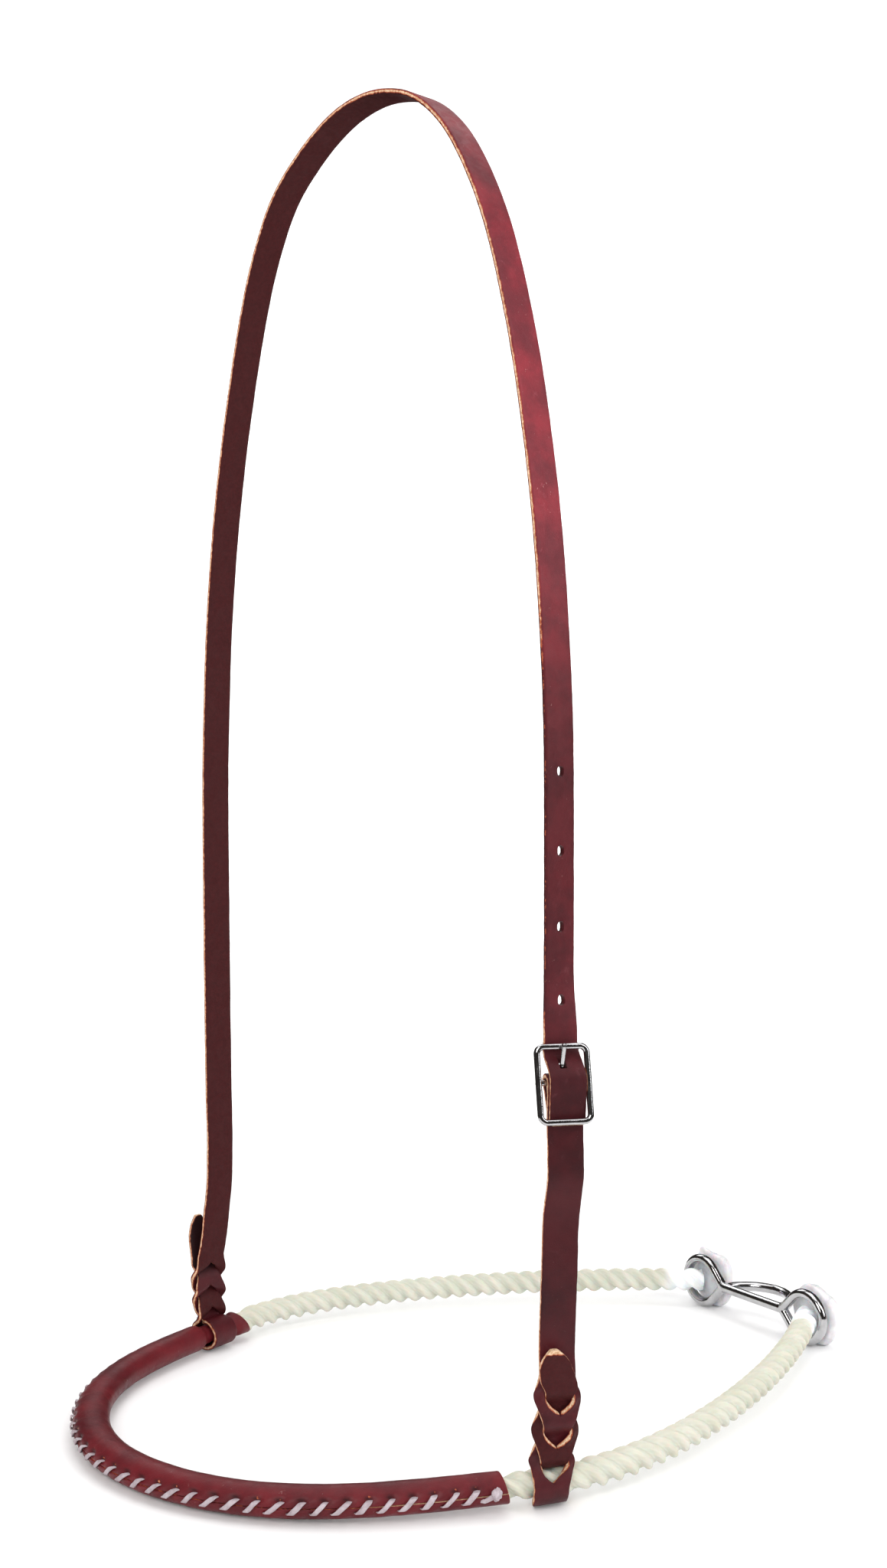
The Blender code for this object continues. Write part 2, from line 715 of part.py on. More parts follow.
def knot_going_down(bore, offset, heights):
    """The standing strap from above the knot to the loop round the rope.

    It is slit for the tip, is drawn through the rising strap's slit, and is slit again where that
    strap comes out over the rope."""
    first, second, third, pitch = slit_heights(heights)
    stations = [leg_station(third + share * pitch, share, offset) for share in KNOT_SHARES]
    for share in KNOT_SHARES[3:-1]:
        stations.append(pass_station(second + share * pitch, share, offset))
    half_depth, half_height = bore[0] + STRAP_THICKNESS / 2, bore[1] + STRAP_THICKNESS / 2
    for share in KNOT_SHARES[2:]:
        height = first + share * pitch
        reach = -1.0
        if height < half_height:
            reach = half_depth * math.sqrt(1 - (height / half_height) ** 2)
        stations.append(leg_station(height, share, offset, reach))
    start = math.asin(first / half_height)
    stations += [loop_station(bore, angle) for angle in np.linspace(start - 0.2, -1.4, 8)]
    return eased(stations)


def knot_going_up(bore, offset, heights, tip_lean):
    """The same strap from under the rope, up its back and over it, and up through the knot.

    It comes out through its own first slit, is slit for the standing strap, and ends as a pointed
    tip drawn through the last slit."""
    first, second, third, pitch = slit_heights(heights)
    stations = [loop_station(bore, angle) for angle in np.linspace(-1.62, -math.pi - 0.9, 14)]
    crest = bore[1] + STRAP_THICKNESS / 2
    stations.append(flat_station(crest - 0.0003, -0.0024, 0.0053))
    stations.append(flat_station(crest + 0.0002, -0.0010, 0.0045))
    stations.append(flat_station(crest + 0.0006, 0.0003, 0.0039))
    stations.append(flat_station(crest + 0.0012, offset - 0.0007, 0.0036))
    for share in (0.57, 0.66, 0.75, 0.85):
        stations.append(pass_station(first + share * pitch, share, offset))
    for share in reversed(KNOT_SHARES[2:]):
        stations.append(leg_station(second + share * pitch, share, offset))
    for share in reversed(KNOT_SHARES[2:-1]):
        lean = tip_lean * smooth_step((share - 0.3) / 3)
        station = list(pass_station(third + share * pitch, share, offset))
        station[1] += lean
        station[4] += lean
        stations.append(tuple(station))
    base = third + pitch
    for share, half_width in ((0.15, 0.0058), (0.4, 0.0056), (0.62, 0.0049), (0.82, 0.0035), (1.0, 0.0012)):
        height = base + share * (heights[2] - base)
        depth = offset + 0.0016 + tip_lean * smooth_step((0.7 + 2.3 * share) / 3)
        stations.append(flat_station(height, depth, half_width))
    return eased(stations)


def eased(stations):
    """The stations with each one drawn halfway towards its neighbours, and the slits left as they are."""
    table = np.array(stations)
    table[1:-1, 1:] = (table[:-2, 1:] + 2 * table[1:-1, 1:] + table[2:, 1:]) / 4
    return [tuple(row) for row in table]


def sway_of(table):
    """A function that gives a strap's sideways shift and its turn in its own plane at a height."""
    heights, shifts = zip(*table)

    def sway(height):
        cock = 0.0
        if table is NEAR_SWAY:
            cock = BUCKLE_COCK * math.exp(-(((height - BUCKLE_HEIGHT) / BUCKLE_COCK_REACH) ** 2))
        return np.interp(height, heights, shifts) - cock * (height - BUCKLE_HEIGHT), cock

    return sway


def rope_bend(frame, sideways):
    """How far outward the rope's line lies at a sideways distance from the middle of a loop."""
    origin, width_axis, outward = frame
    at = ROPE_LENGTHS[np.argmin(np.linalg.norm(ROPE_LINE - origin, axis=1))]
    sense = math.copysign(1.0, width_axis.dot(rope_frame(at)[1]))
    return (rope_point(at + sense * sideways) - origin).dot(outward)


def place_stations(stations, frame, table, skew=0.0, twist=None):
    """Rows of six points in the noseband frame from stations in a strap's own frame. The skew is how
    much further along the rope a loop's back runs than its front."""
    origin, width_axis, outward = frame
    sway = sway_of(table)
    rows = []
    for gap, inner_depth, inner_height, outer, outer_depth, outer_height in stations:
        row = []
        shift, cock = sway(outer_height)
        behind = smooth_step((0.006 - outer_depth) / 0.012)
        on_rope = 1 - smooth_step((outer_height - 0.004) / 0.0045)
        shift += skew * behind * on_rope
        across = width_axis if twist is None else twist(outer_height)
        inner = (gap, inner_depth, inner_height)
        edge = (outer, outer_depth, outer_height)
        middle = tuple((a + b) / 2 for a, b in zip(inner, edge))
        for sign, place in ((-1, edge), (-1, middle), (-1, inner), (1, inner), (1, middle), (1, edge)):
            depth = place[1]
            if on_rope > 0:
                depth += on_rope * rope_bend(frame, shift + sign * place[0])
            flat = origin + shift * width_axis + sign * place[0] * across + depth * outward
            row.append((flat[0], flat[1], place[2] + sign * place[0] * cock))
        rows.append(row)
    return rows


def loop_frame(at, near_side):
    """Origin, width direction and outward direction of the strap at one of its loops on the rope."""
    centre, ahead, _ = rope_frame(at)
    width_axis = -ahead if near_side else ahead
    outward = np.array([width_axis[1], -width_axis[0]])
    if outward.dot(centre) < 0:
        outward = -outward
    return centre, width_axis, outward


def buckle_layer(layer, angles):
    """The route of one leather layer over the centre bar and down behind the lower end bar.

    Layer 0 is the holed end on the outside, layer 1 the fold's front and layer 2 its turned-back
    end. Each point is (out of the bar's axis, above the bar)."""
    outer = FOLD_RADIUS + LAYER_PITCH
    behind = BUCKLE_BAR_SETBACK - BUCKLE_WIRE - STRAP_THICKNESS / 2 - LAYER_TO_FRAME
    slant = math.atan2(BUCKLE_HALF_HEIGHT, behind) - math.acos(outer / math.hypot(BUCKLE_HALF_HEIGHT, behind))
    radius = outer - layer * LAYER_PITCH
    route = [(radius * math.cos(a), radius * math.sin(a)) for a in angles if a > -slant]
    corner = np.array((behind, -BUCKLE_HALF_HEIGHT))
    corner = corner + layer * LAYER_PITCH * np.array((-1.0, math.tan(slant / 2)))
    up = np.array((math.sin(slant), math.cos(slant)))
    if layer < 2:
        leave = np.array((radius * math.cos(slant), -radius * math.sin(slant)))
    else:
        leave = corner + up * ((-FOLD_RADIUS - corner[0]) / up[0])
    reach = np.linalg.norm(leave - corner)
    if layer == 2:
        route.append(tuple(leave * (1, 0.55)))
    route += [tuple(corner + up * reach * share) for share in (1.0, 0.8, 0.55, 0.3)]
    route += [tuple(corner + up * 0.0008 + (-0.0001, 0)), tuple(corner - (0, 0.0010)), tuple(corner - (0, 0.0035))]
    return route


def layer_stations(route, half_width=STRAP_HALF_WIDTH, slot_below=None):
    """Strap stations along a layer's route, slit for the tongue above a height."""
    bar = BUCKLE_PLANE_OFFSET - BUCKLE_BAR_SETBACK
    stations = []
    for depth, height in route:
        gap = TONGUE_SLOT_HALF_WIDTH if slot_below is not None and height > slot_below else 0.0
        stations.append(flat_station(BUCKLE_HEIGHT + height, bar + depth, half_width, gap))
    return stations


def build_cheek_strap(parent, surface):
    """The lower near strap: folded round the buckle's bar, then down to its knot on the rope."""
    turned_back = buckle_layer(2, [])
    back = layer_stations(turned_back[::-1], slot_below=-0.0046)
    lowest = back[0][2]
    for number, station in enumerate(back):
        taper = STRAP_HALF_WIDTH * (0.62 + 0.28 * min(1.0, (station[2] - lowest) / 0.012))
        back[number] = station[:3] + (taper,) + station[4:]
    tip = list(back[0])
    tip[3] = STRAP_HALF_WIDTH * 0.45
    tip[2] = tip[5] = tip[2] - 0.0012
    front = buckle_layer(1, np.linspace(math.pi, 0, 11))
    stations = [tuple(tip)] + back + layer_stations(front, slot_below=-0.0046)
    depth, height = front[-1][0] + BUCKLE_PLANE_OFFSET - BUCKLE_BAR_SETBACK, front[-1][1] + BUCKLE_HEIGHT
    stations += [
        flat_station(height - 0.0080, depth),
        flat_station(height - 0.0160, depth - 0.0001),
        flat_station(0.0850, 0.0032),
        flat_station(0.0700, 0.0024),
        flat_station(0.0550, 0.0014),
        flat_station(0.0430, 0.0008),
    ]
    frame = loop_frame(NEAR_LOOP_AT, True)
    stations += knot_going_down(NEAR_LOOP_BORE, NEAR_KNOT_OFFSET, NEAR_KNOT_HEIGHTS)
    rows = place_stations(stations, frame, NEAR_SWAY, NEAR_LOOP_SKEW)
    rising = knot_going_up(NEAR_LOOP_BORE, NEAR_KNOT_OFFSET, NEAR_KNOT_HEIGHTS, NEAR_TIP_LEAN)
    rows += place_stations(rising, frame, NEAR_TIP_SWAY, NEAR_LOOP_SKEW)
    return mesh_object("cheek_strap", *strap_solid(rows, STRAP_THICKNESS), parent, surface)


def arch_rows():
    """The strap from above the buckle over the poll and down the far cheek."""
    route = resampled(ARCH_NEAR_TOP, 0.0105)
    direction = np.array(ARCH_DIRECTION)
    across = np.array([direction[1], -direction[0]])
    rows = []
    for distance, height in route:
        centre = np.array(ARCH_MIDDLE) + distance * direction
        row = []
        for share in (-1, -0.5, 0, 0, 0.5, 1):
            flat = centre + share * STRAP_HALF_WIDTH * across
            row.append((flat[0], flat[1], height))
        rows.append(row)
    return rows


def billet_stations():
    """The end of the strap that passes through the buckle, from its tip upward."""
    lower = buckle_layer(0, np.linspace(0, -1, 9))[:-1]
    upper = [(depth - 0.0008 * smooth_step((-height - 0.004) / 0.007), -height) for depth, height in lower[1:]]
    depth, height = lower[-1]
    stations = layer_stations([(depth, height - 0.0005)], STRAP_HALF_WIDTH * 0.9)
    stations += layer_stations(lower[::-1] + upper)
    return stations


def billet_twist(height):
    """The strap's width direction, which turns from the lower strap's to the arch's above the buckle."""
    _, width_axis, _ = loop_frame(NEAR_LOOP_AT, True)
    arch_axis = np.array([ARCH_DIRECTION[1], -ARCH_DIRECTION[0]])
    share = smooth_step((height - BUCKLE_HEIGHT - 0.0055) / 0.015)
    turned = width_axis + share * (arch_axis - width_axis)
    return turned / np.linalg.norm(turned)


def joined_rows(lower, upper):
    """Two runs of strap rows with three more between them that ease one into the other."""
    last, first = np.array(lower[-1]), np.array(upper[0])
    between = []
    for share in (0.25, 0.5, 0.75):
        row = last + smooth_step(share) * (first - last)
        row[:, 2] = last[:, 2] + share * (first - last)[:, 2]
        between.append(row)
    return lower + between + upper


def build_crown_strap(parent, surface):
    """The headstall strap: its holed end in the buckle, the arch, and the far knot."""
    near = loop_frame(NEAR_LOOP_AT, True)
    billet = place_stations(billet_stations(), near, NEAR_SWAY, twist=billet_twist)
    rows = joined_rows(billet, arch_rows())
    far = loop_frame(FAR_LOOP_AT, False)
    leg = [
        flat_station(0.0780, FAR_KNOT_OFFSET + 0.0008),
        flat_station(0.0600, FAR_KNOT_OFFSET - 0.0004),
        flat_station(0.0480, FAR_KNOT_OFFSET - 0.0008),
        flat_station(0.0400, FAR_KNOT_OFFSET - 0.0011),
        flat_station(0.0350, FAR_KNOT_OFFSET - 0.0014),
    ]
    leg += knot_going_down(FAR_LOOP_BORE, FAR_KNOT_OFFSET, FAR_KNOT_HEIGHTS)
    rows += place_stations(leg, far, FAR_SWAY)
    rising = knot_going_up(FAR_LOOP_BORE, FAR_KNOT_OFFSET, FAR_KNOT_HEIGHTS, FAR_TIP_LEAN)
    rows += place_stations(rising, far, FAR_TIP_SWAY)
    strap = mesh_object("crown_strap", *strap_solid(rows, STRAP_THICKNESS), parent, surface)
    for number, height in enumerate(BILLET_HOLE_HEIGHTS):
        boolean(strap, hole_cutter(number, height, parent), "DIFFERENCE")
    boolean(strap, tongue_cutter(parent), "DIFFERENCE")
    return strap


def near_leg_point(height):
    route = np.array(ARCH_NEAR_TOP[:4])
    distance = np.interp(height, route[:, 1], route[:, 0])
    flat = np.array(ARCH_MIDDLE) + distance * np.array(ARCH_DIRECTION)
    return np.array([flat[0], flat[1], height])


def hole_cutter(number, height, parent):
    """A punched hole, slightly taller than wide."""
    centre = near_leg_point(height)
    through = np.array([*ARCH_DIRECTION, 0.0])
    across = np.array([ARCH_DIRECTION[1], -ARCH_DIRECTION[0], 0.0])
    rings = []
    for reach in (-0.008, 0.008):
        ring = []
        for j in range(12):
            angle = 2 * math.pi * (j + 0.5) / 12
            upright = BILLET_HOLE_RADIUS * math.sin(angle)
            upright += math.copysign(BILLET_HOLE_STRETCH, math.sin(angle))
            side = BILLET_HOLE_RADIUS * math.cos(angle)
            ring.append(centre + through * reach + across * side + np.array([0, 0, upright]))
        rings.append(ring)
    return mesh_object("hole_cutter_%d" % number, *ring_sweep(rings), parent)


def buckle_point(sideways, depth, height):
    """A point from the buckle's own frame: along the bar, out of the frame's plane, and up."""
    centre, width_axis, outward = loop_frame(NEAR_LOOP_AT, True)
    shift, _ = sway_of(NEAR_SWAY)(BUCKLE_HEIGHT)
    c, k = math.cos(BUCKLE_COCK), math.sin(BUCKLE_COCK)
    sideways, height = sideways * c - height * k, height * c + sideways * k
    sideways += shift + BUCKLE_SIDE_PLAY
    flat = centre + sideways * width_axis + (BUCKLE_PLANE_OFFSET + depth) * outward
    return np.array([flat[0], flat[1], BUCKLE_HEIGHT + height])


FOLD_RADIUS = BUCKLE_WIRE + FOLD_CLEARANCE + STRAP_THICKNESS / 2
TONGUE_REST_DEPTH = BUCKLE_WIRE + TONGUE_WIRE + 0.0002
TONGUE_ANGLE = math.atan2(TONGUE_REST_DEPTH + BUCKLE_BAR_SETBACK, BUCKLE_HALF_HEIGHT)
TONGUE_LENGTH = BUCKLE_HALF_HEIGHT / math.cos(TONGUE_ANGLE) + 0.0022


def tongue_cutter(parent):
    """The room that the tongue needs in the leather, from lying on the end bar to lifted off it."""
    rings = []
    low, high = TONGUE_ANGLE - math.radians(9), TONGUE_ANGLE + TONGUE_LIFT + math.radians(1)
    half = TONGUE_WIRE + 0.0003
    for reach in (0.0034, 0.0125):
        ring = []
        for side, angle in ((-1, low), (1, low), (1, high), (-1, high)):
            edge = -half if angle == low else half
            depth = -BUCKLE_BAR_SETBACK + reach * math.sin(angle) + edge * math.cos(angle)
            height = reach * math.cos(angle) - edge * math.sin(angle)
            ring.append(buckle_point(side * half, depth, height))
        rings.append(ring)
    return mesh_object("tongue_cutter", *ring_sweep(rings), parent)


def build_buckle_frame(parent, surface):
    """A rounded rectangle of wire with a bar across its middle, set back from the frame's plane."""
    path = []
    straight_x = BUCKLE_HALF_WIDTH - BUCKLE_CORNER
    straight_z = BUCKLE_HALF_HEIGHT - BUCKLE_CORNER
    for corner, (sx, sz) in enumerate(((1, 1), (-1, 1), (-1, -1), (1, -1))):
        for step in range(4):
            angle = math.pi / 2 * (corner + step / 3)
            x = sx * straight_x + BUCKLE_CORNER * math.cos(angle)
            z = sz * straight_z + BUCKLE_CORNER * math.sin(angle)
            path.append(buckle_point(x, 0.0, z))
        if corner in (0, 2):
            continue
        path.append(buckle_point(sx * BUCKLE_HALF_WIDTH, 0.0, 0.0))
    path = np.array(path)
    _, _, outward = loop_frame(NEAR_LOOP_AT, True)
    axis = (outward[0], outward[1], 0.0)
    size = (BUCKLE_WIRE, BUCKLE_WIRE)
    rings = tube_rings(path, axis, size, 10, closed_path=True)
    frame = mesh_object("buckle_frame", *ring_sweep(rings, True), parent, surface)
    half = [
        (-BUCKLE_HALF_WIDTH + 0.0002, -0.0001),
        (-BUCKLE_HALF_WIDTH + 0.0006, -BUCKLE_BAR_SETBACK * 0.65),
        (-BUCKLE_HALF_WIDTH + 0.0014, -BUCKLE_BAR_SETBACK),
        (-BUCKLE_HALF_WIDTH + 0.0028, -BUCKLE_BAR_SETBACK),
    ]
    route = half + [(-x, d) for x, d in half[::-1]]
    bar = [buckle_point(x, d, 0.0) for x, d in route]
    rings = tube_rings(bar, (0, 0, 1), (BUCKLE_WIRE * 0.94, BUCKLE_WIRE * 0.94), 10)
    boolean(frame, mesh_object("centre_bar", *ring_sweep(rings), parent), "UNION")
    return frame


def build_tongue(parent, surface):
    """A wire tongue curled round the centre bar, its tip lying on the upper end bar."""
    curl = BUCKLE_WIRE + 0.0002 + TONGUE_WIRE
    path = []
    for angle in np.linspace(math.radians(-66), math.radians(-300), 14):
        turned = angle + math.pi / 2 - TONGUE_ANGLE
        depth = curl * math.cos(turned)
        height = curl * math.sin(turned)
        path.append((depth, height))
    along = np.array([math.sin(TONGUE_ANGLE), math.cos(TONGUE_ANGLE)])
    for reach in (0.0045, 0.0070, 0.0100, TONGUE_LENGTH - 0.001, TONGUE_LENGTH):
        path.append(tuple(along * reach))
    path = [buckle_point(0.0, -BUCKLE_BAR_SETBACK + d, h) for d, h in resampled(path, 0.0011)]
    _, width_axis, _ = loop_frame(NEAR_LOOP_AT, True)
    rings = tube_rings(path, (width_axis[0], width_axis[1], 0.0), (TONGUE_WIRE, TONGUE_WIRE), 8)
    return mesh_object("buckle_tongue", *ring_sweep(rings), parent, surface)


def flatten_underside(made, stand):
    """Trims what would reach below the surface that the noseband stands on."""
    to_world = stand.matrix_world
    to_local = to_world.inverted()
    shape = bmesh.new()
    shape.from_mesh(made.data)
    normal = (to_world.to_3x3().transposed() @ Vector((0, 0, 1))).normalized()
    found = bmesh.ops.bisect_plane(
        shape,
        geom=list(shape.verts) + list(shape.edges) + list(shape.faces),
        plane_co=to_local @ Vector((0, 0, 0)),
        plane_no=normal,
        clear_inner=True,
    )
    edges = [g for g in found["geom_cut"] if isinstance(g, bmesh.types.BMEdge)]
    bmesh.ops.holes_fill(shape, edges=edges, sides=0)
    bmesh.ops.recalc_face_normals(shape, faces=shape.faces)
    shape.to_mesh(made.data)
    shape.free()


def main():
    for old in list(bpy.data.objects):
        bpy.data.objects.remove(old, do_unlink=True)

    leather = material("latigo_leather", (0.16, 0.030, 0.038), 0.50)
    cover_leather = material("cover_leather", (0.18, 0.032, 0.042), 0.48)
    lace_hide = material("lace_hide", (0.52, 0.40, 0.45), 0.65)
    rope_fibre = material("rope_fibre", (0.76, 0.77, 0.66), 0.80)
    fused_fibre = material("fused_fibre", (0.82, 0.83, 0.82), 0.35)
    chrome = material("chrome", (0.78, 0.78, 0.80), 0.14, 1.0)

    stand = empty("noseband_stand", (0, 0, 0))
    stand.rotation_euler = (0, -STAND_PITCH, 0)
    stand.location = (STAND_CENTRE[0], STAND_CENTRE[1], STAND_LIFT)

    near, _, _ = loop_frame(NEAR_LOOP_AT, True)
    headstall = empty("headstall_pivot", (near[0], near[1], 0.0), stand)
    bar = buckle_point(0.0, -BUCKLE_BAR_SETBACK, 0.0)
    buckle = empty("buckle_pivot", tuple(bar), stand)
    tongue = empty("tongue_pivot", tuple(bar), stand)
    eyes = empty("connector_pivot", (EYE_X, 0.0, 0.0), stand)
    bpy.context.view_layer.update()

    build_rope(stand, rope_fibre)
    cover = build_cover(stand, cover_leather)
    build_lace(stand, lace_hide)
    stops = [
        build_stop("near_rope_stop", -1, stand, fused_fibre),
        build_stop("far_rope_stop", 1, stand, fused_fibre),
    ]
    build_connector(eyes, chrome)
    build_cheek_strap(headstall, leather)
    build_crown_strap(headstall, leather)
    build_buckle_frame(buckle, chrome)
    build_tongue(tongue, chrome)
    for made in [cover] + stops:
        flatten_underside(made, stand)


main()
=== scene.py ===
"""Looks of the rope noseband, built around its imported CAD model.

Every piece is drawn in the flat noseband frame that the CAD uses, with the rope's centre line in
the plane z = 0, +X towards the jaw and -Y on the near, buckled side. to_world() then tips it as
the CAD's stand does. All lengths are in metres.
"""

import itertools
import math

import bmesh
import bpy
import numpy as np
from mathutils import Matrix, Vector, kdtree, noise


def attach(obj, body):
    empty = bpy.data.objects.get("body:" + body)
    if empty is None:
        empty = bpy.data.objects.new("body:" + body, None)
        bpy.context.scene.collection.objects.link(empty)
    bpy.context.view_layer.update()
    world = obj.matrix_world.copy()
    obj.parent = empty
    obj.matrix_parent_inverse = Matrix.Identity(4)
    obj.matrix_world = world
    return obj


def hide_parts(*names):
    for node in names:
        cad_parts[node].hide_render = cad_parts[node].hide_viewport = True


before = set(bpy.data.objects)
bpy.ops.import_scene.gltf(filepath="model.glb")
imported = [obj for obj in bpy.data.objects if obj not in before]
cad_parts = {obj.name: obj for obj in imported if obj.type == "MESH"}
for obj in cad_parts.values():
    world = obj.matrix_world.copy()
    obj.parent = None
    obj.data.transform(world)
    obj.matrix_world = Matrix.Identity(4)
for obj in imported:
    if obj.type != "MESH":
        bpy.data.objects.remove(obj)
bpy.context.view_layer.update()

# Rope
ROPE_RADIUS = 0.00475
ROPE_RADIUS_IN_NEAR_LOOP = 0.00445
ROPE_GAP = 0.0004

# Half of the rope's route, from the middle of the nose to the end under the jaw
ROPE_ROUTE = [
    (-0.1366, 0.0), (-0.1341, 0.0194), (-0.1272, 0.0379), (-0.1164, 0.0543), (-0.1026, 0.0677),
    (-0.0868, 0.0779), (-0.0702, 0.0858), (-0.0542, 0.092), (-0.0396, 0.0971), (-0.0258, 0.101),
    (-0.0116, 0.103), (0.0041, 0.1029), (0.0217, 0.1004), (0.0408, 0.0957), (0.0608, 0.0891),
    (0.0813, 0.0808), (0.1014, 0.0714), (0.12, 0.0615), (0.1363, 0.0518), (0.1494, 0.043),
    (0.158, 0.0368), (0.165, 0.0322),
]

# Nose cover: a leather sleeve with its edges laced together on the outer side
COVER_NEAR_END_X = -0.0408
COVER_FAR_END_X = -0.0372
COVER_HALF_HEIGHT = 0.005
COVER_HALF_WIDTH_AT_NOSE = 0.0066
COVER_HALF_WIDTH_AT_ENDS = 0.0057
COVER_WALL = 0.0012
COVER_SQUEEZE_IN_LOOP = 0.00105
COVER_SQUEEZE_REACH = (0.008, 0.004)
COVER_SEAM_ANGLE = math.radians(1)
# Lacing of the cover
LACE_PITCH = 0.00675
LACE_THICKNESS = 0.0008
LACE_LIFT = 0.0004
LACE_HALF_REACH = 0.0027
LACE_LEAN = -0.0019
LACE_NEAR_MARGIN = 0.0136
LACE_FAR_MARGIN = 0.0285
LACE_KNOT_SETBACK = 0.0082
LACE_KNOT_RISE = math.radians(13)

# Connector under the jaw
EYE_X = 0.1645
EYE_Y = 0.0315
EYE_MID_RADIUS = 0.00965
EYE_TAPER_REACH = 0.014
EYE_SECTION = (0.0019, 0.0022)
CONNECTOR_SKIN = 0.0003
BAR_SECTION = (0.0021, 0.0021)
BOW_REACH = 0.0165
# Half of the bowed bar, as (reach, how far short of the eye's point)
BOW_OUTLINE = [(0.0003, 0.0), (0.0024, 0.0005), (0.0045, 0.0012), (0.007, 0.0024)]
BOW_OUTLINE += [(0.0095, 0.004), (0.0118, 0.0059), (0.0136, 0.008), (0.015, 0.0104)]
BOW_OUTLINE += [(0.016, 0.013)]

# Fused stops on the rope's ends: half their section, as (depth, radius) from the face's middle,
# with the bulges of each as (angle in degrees, depth share, reach, spread)
STOP_OUTLINE = [(0.0024, 0.0), (0.0033, 0.0062), (0.004, 0.0106), (0.0056, 0.0121)]
STOP_OUTLINE += [(0.008, 0.0117), (0.0098, 0.0096), (0.0108, 0.0056), (0.0112, 0.0)]
NEAR_STOP_BULGES = [(255, 0.45, 0.0014, 28), (60, 0.5, 0.0006, 20)]
FAR_STOP_BULGES = [(68, 0.3, 0.0034, 13), (230, 0.4, 0.0012, 25)]
STOP_FLOOR = 0.0002

# Leather straps
STRAP_HALF_WIDTH = 0.006
STRAP_THICKNESS = 0.0019
LAYER_PITCH = STRAP_THICKNESS + 0.0001
# Where the strap loops sit on the rope, and how the straps stand above them
NEAR_LOOP_X = -0.0289
FAR_LOOP_X = -0.0514
NEAR_LOOP_BORE = (0.00505, 0.00505)
FAR_LOOP_BORE = (0.0055, 0.0044)
NEAR_LOOP_SKEW = 0.004
NEAR_KNOT_OFFSET = 0.0024
FAR_KNOT_OFFSET = 0.0025
NEAR_TIP_LEAN = 0.0006
FAR_TIP_LEAN = 0.0045

# Sideways lean of each strap along the rope, as (height, shift) points. The tips stand apart
NEAR_SWAY = [
    (0.0, 0.0), (0.0055, 0.0013), (0.009, 0.0021), (0.014, 0.0028), (0.022, 0.0037),
    (0.031, 0.0041), (0.045, 0.0041), (0.105, 0.0047), (0.13, 0.0042), (0.15, 0.004),
]
NEAR_TIP_SWAY = [(-0.006, 0.0), (-0.002, 0.0012), (0.004, 0.0019), (0.009, 0.0021)]
NEAR_TIP_SWAY += NEAR_SWAY[3:6] + [(0.037, 0.0023), (0.044, 0.0015)]
FAR_SWAY = [
    (0.002, 0.0), (0.01, -0.0009), (0.018, -0.0019), (0.026, -0.0019), (0.033, -0.0006),
    (0.04, 0.0014), (0.06, 0.005), (0.078, 0.0066),
]
FAR_TIP_SWAY = [(-0.005, 0.0), (0.002, -0.0003)] + FAR_SWAY[1:4]
FAR_TIP_SWAY += [(0.031, -0.0012), (0.045, -0.001)]

# Interlaced knots: the first slit's lower end above the rope's centre, the slits' pitch and the
# tip's end
NEAR_KNOT_HEIGHTS = (0.0016, 0.01055, 0.044)
FAR_KNOT_HEIGHTS = (0.0019, 0.0092, 0.047)
# The shares of a slit's pitch at which a knot's stations lie, from its upper end to its lower one
KNOT_SHARES = (1.2, 1.1, 1.0, 0.9, 0.8, 0.7, 0.6, 0.5, 0.4, 0.3, 0.2, 0.1, 0.0)
# A slit strap's half as it passes round the other layer, turned on edge beside it: the share of
# the pitch, the inner edge's distance from the middle and depth, and the outer edge's
SLIT_SECTION = np.array([
    (-0.35, 0.0, 0.00115, 0.006, 0.00115), (-0.1, 0.0, 0.0014, 0.0062, 0.0011),
    (0.03, 0.0, 0.00165, 0.0064, 0.0009), (0.06, 0.0008, 0.0018, 0.0065, 0.0008),
    (0.1, 0.0015, 0.00195, 0.0066, 0.00065), (0.18, 0.0026, 0.00215, 0.0069, 0.0003),
    (0.28, 0.0037, 0.0021, 0.0073, -0.0003), (0.4, 0.0045, 0.00165, 0.0076, -0.0011),
    (0.5, 0.0046, 0.0008, 0.0076, -0.0018), (0.6, 0.0042, -0.0002, 0.0074, -0.0023),
    (0.7, 0.0032, -0.0011, 0.007, -0.0023), (0.8, 0.0018, -0.0015, 0.0067, -0.0021),
    (0.88, 0.0006, -0.0015, 0.0064, -0.0019), (0.94, 0.0, -0.0015, 0.0063, -0.0017),
    (1.0, 0.0, -0.00145, 0.0062, -0.0015), (1.2, 0.0, -0.0012, 0.006, -0.0012),
])
# The layer that is drawn through a slit, gathered to fit it, as (share, half width, depth)
PASSING_SECTION = np.array([
    (-0.2, 0.006, -0.00115), (0.0, 0.0059, -0.00125), (0.1, 0.0057, -0.0013),
    (0.2, 0.0055, -0.00125), (0.3, 0.0052, -0.00095), (0.4, 0.0048, -0.00045),
    (0.5, 0.0046, 0.0003), (0.6, 0.0047, 0.00105), (0.7, 0.0051, 0.0016),
    (0.8, 0.0056, 0.00175), (0.9, 0.0059, 0.0015), (1.0, 0.006, 0.00125),
    (1.2, 0.006, 0.00115),
])
# The rising strap over the rope, as (depth under the loop's crest, depth, half width), and the
# taper of its tip, as (share of the tip's length, half width)
OVER_ROPE = [(0.0003, -0.0024, 0.0053), (0.0001, -0.001, 0.0049), (0.0004, 0.0003, 0.0046)]
TIP_TAPER = [(0.15, 0.0058), (0.4, 0.0056), (0.62, 0.0049), (0.82, 0.0035), (1.0, 0.0012)]
# The straight legs between the knots and the straps' upper parts, as (height, depth)
CHEEK_LEG = [(0.085, 0.0032), (0.07, 0.0024), (0.055, 0.0014), (0.043, 0.0008)]
CROWN_LEG = [(0.078, 0.0008), (0.06, -0.0004), (0.048, -0.0008), (0.04, -0.0011)]
CROWN_LEG += [(0.035, -0.0014)]
# The least distance from the rope's axis of stations that it doesn't limit
NO_REACH = -1.0

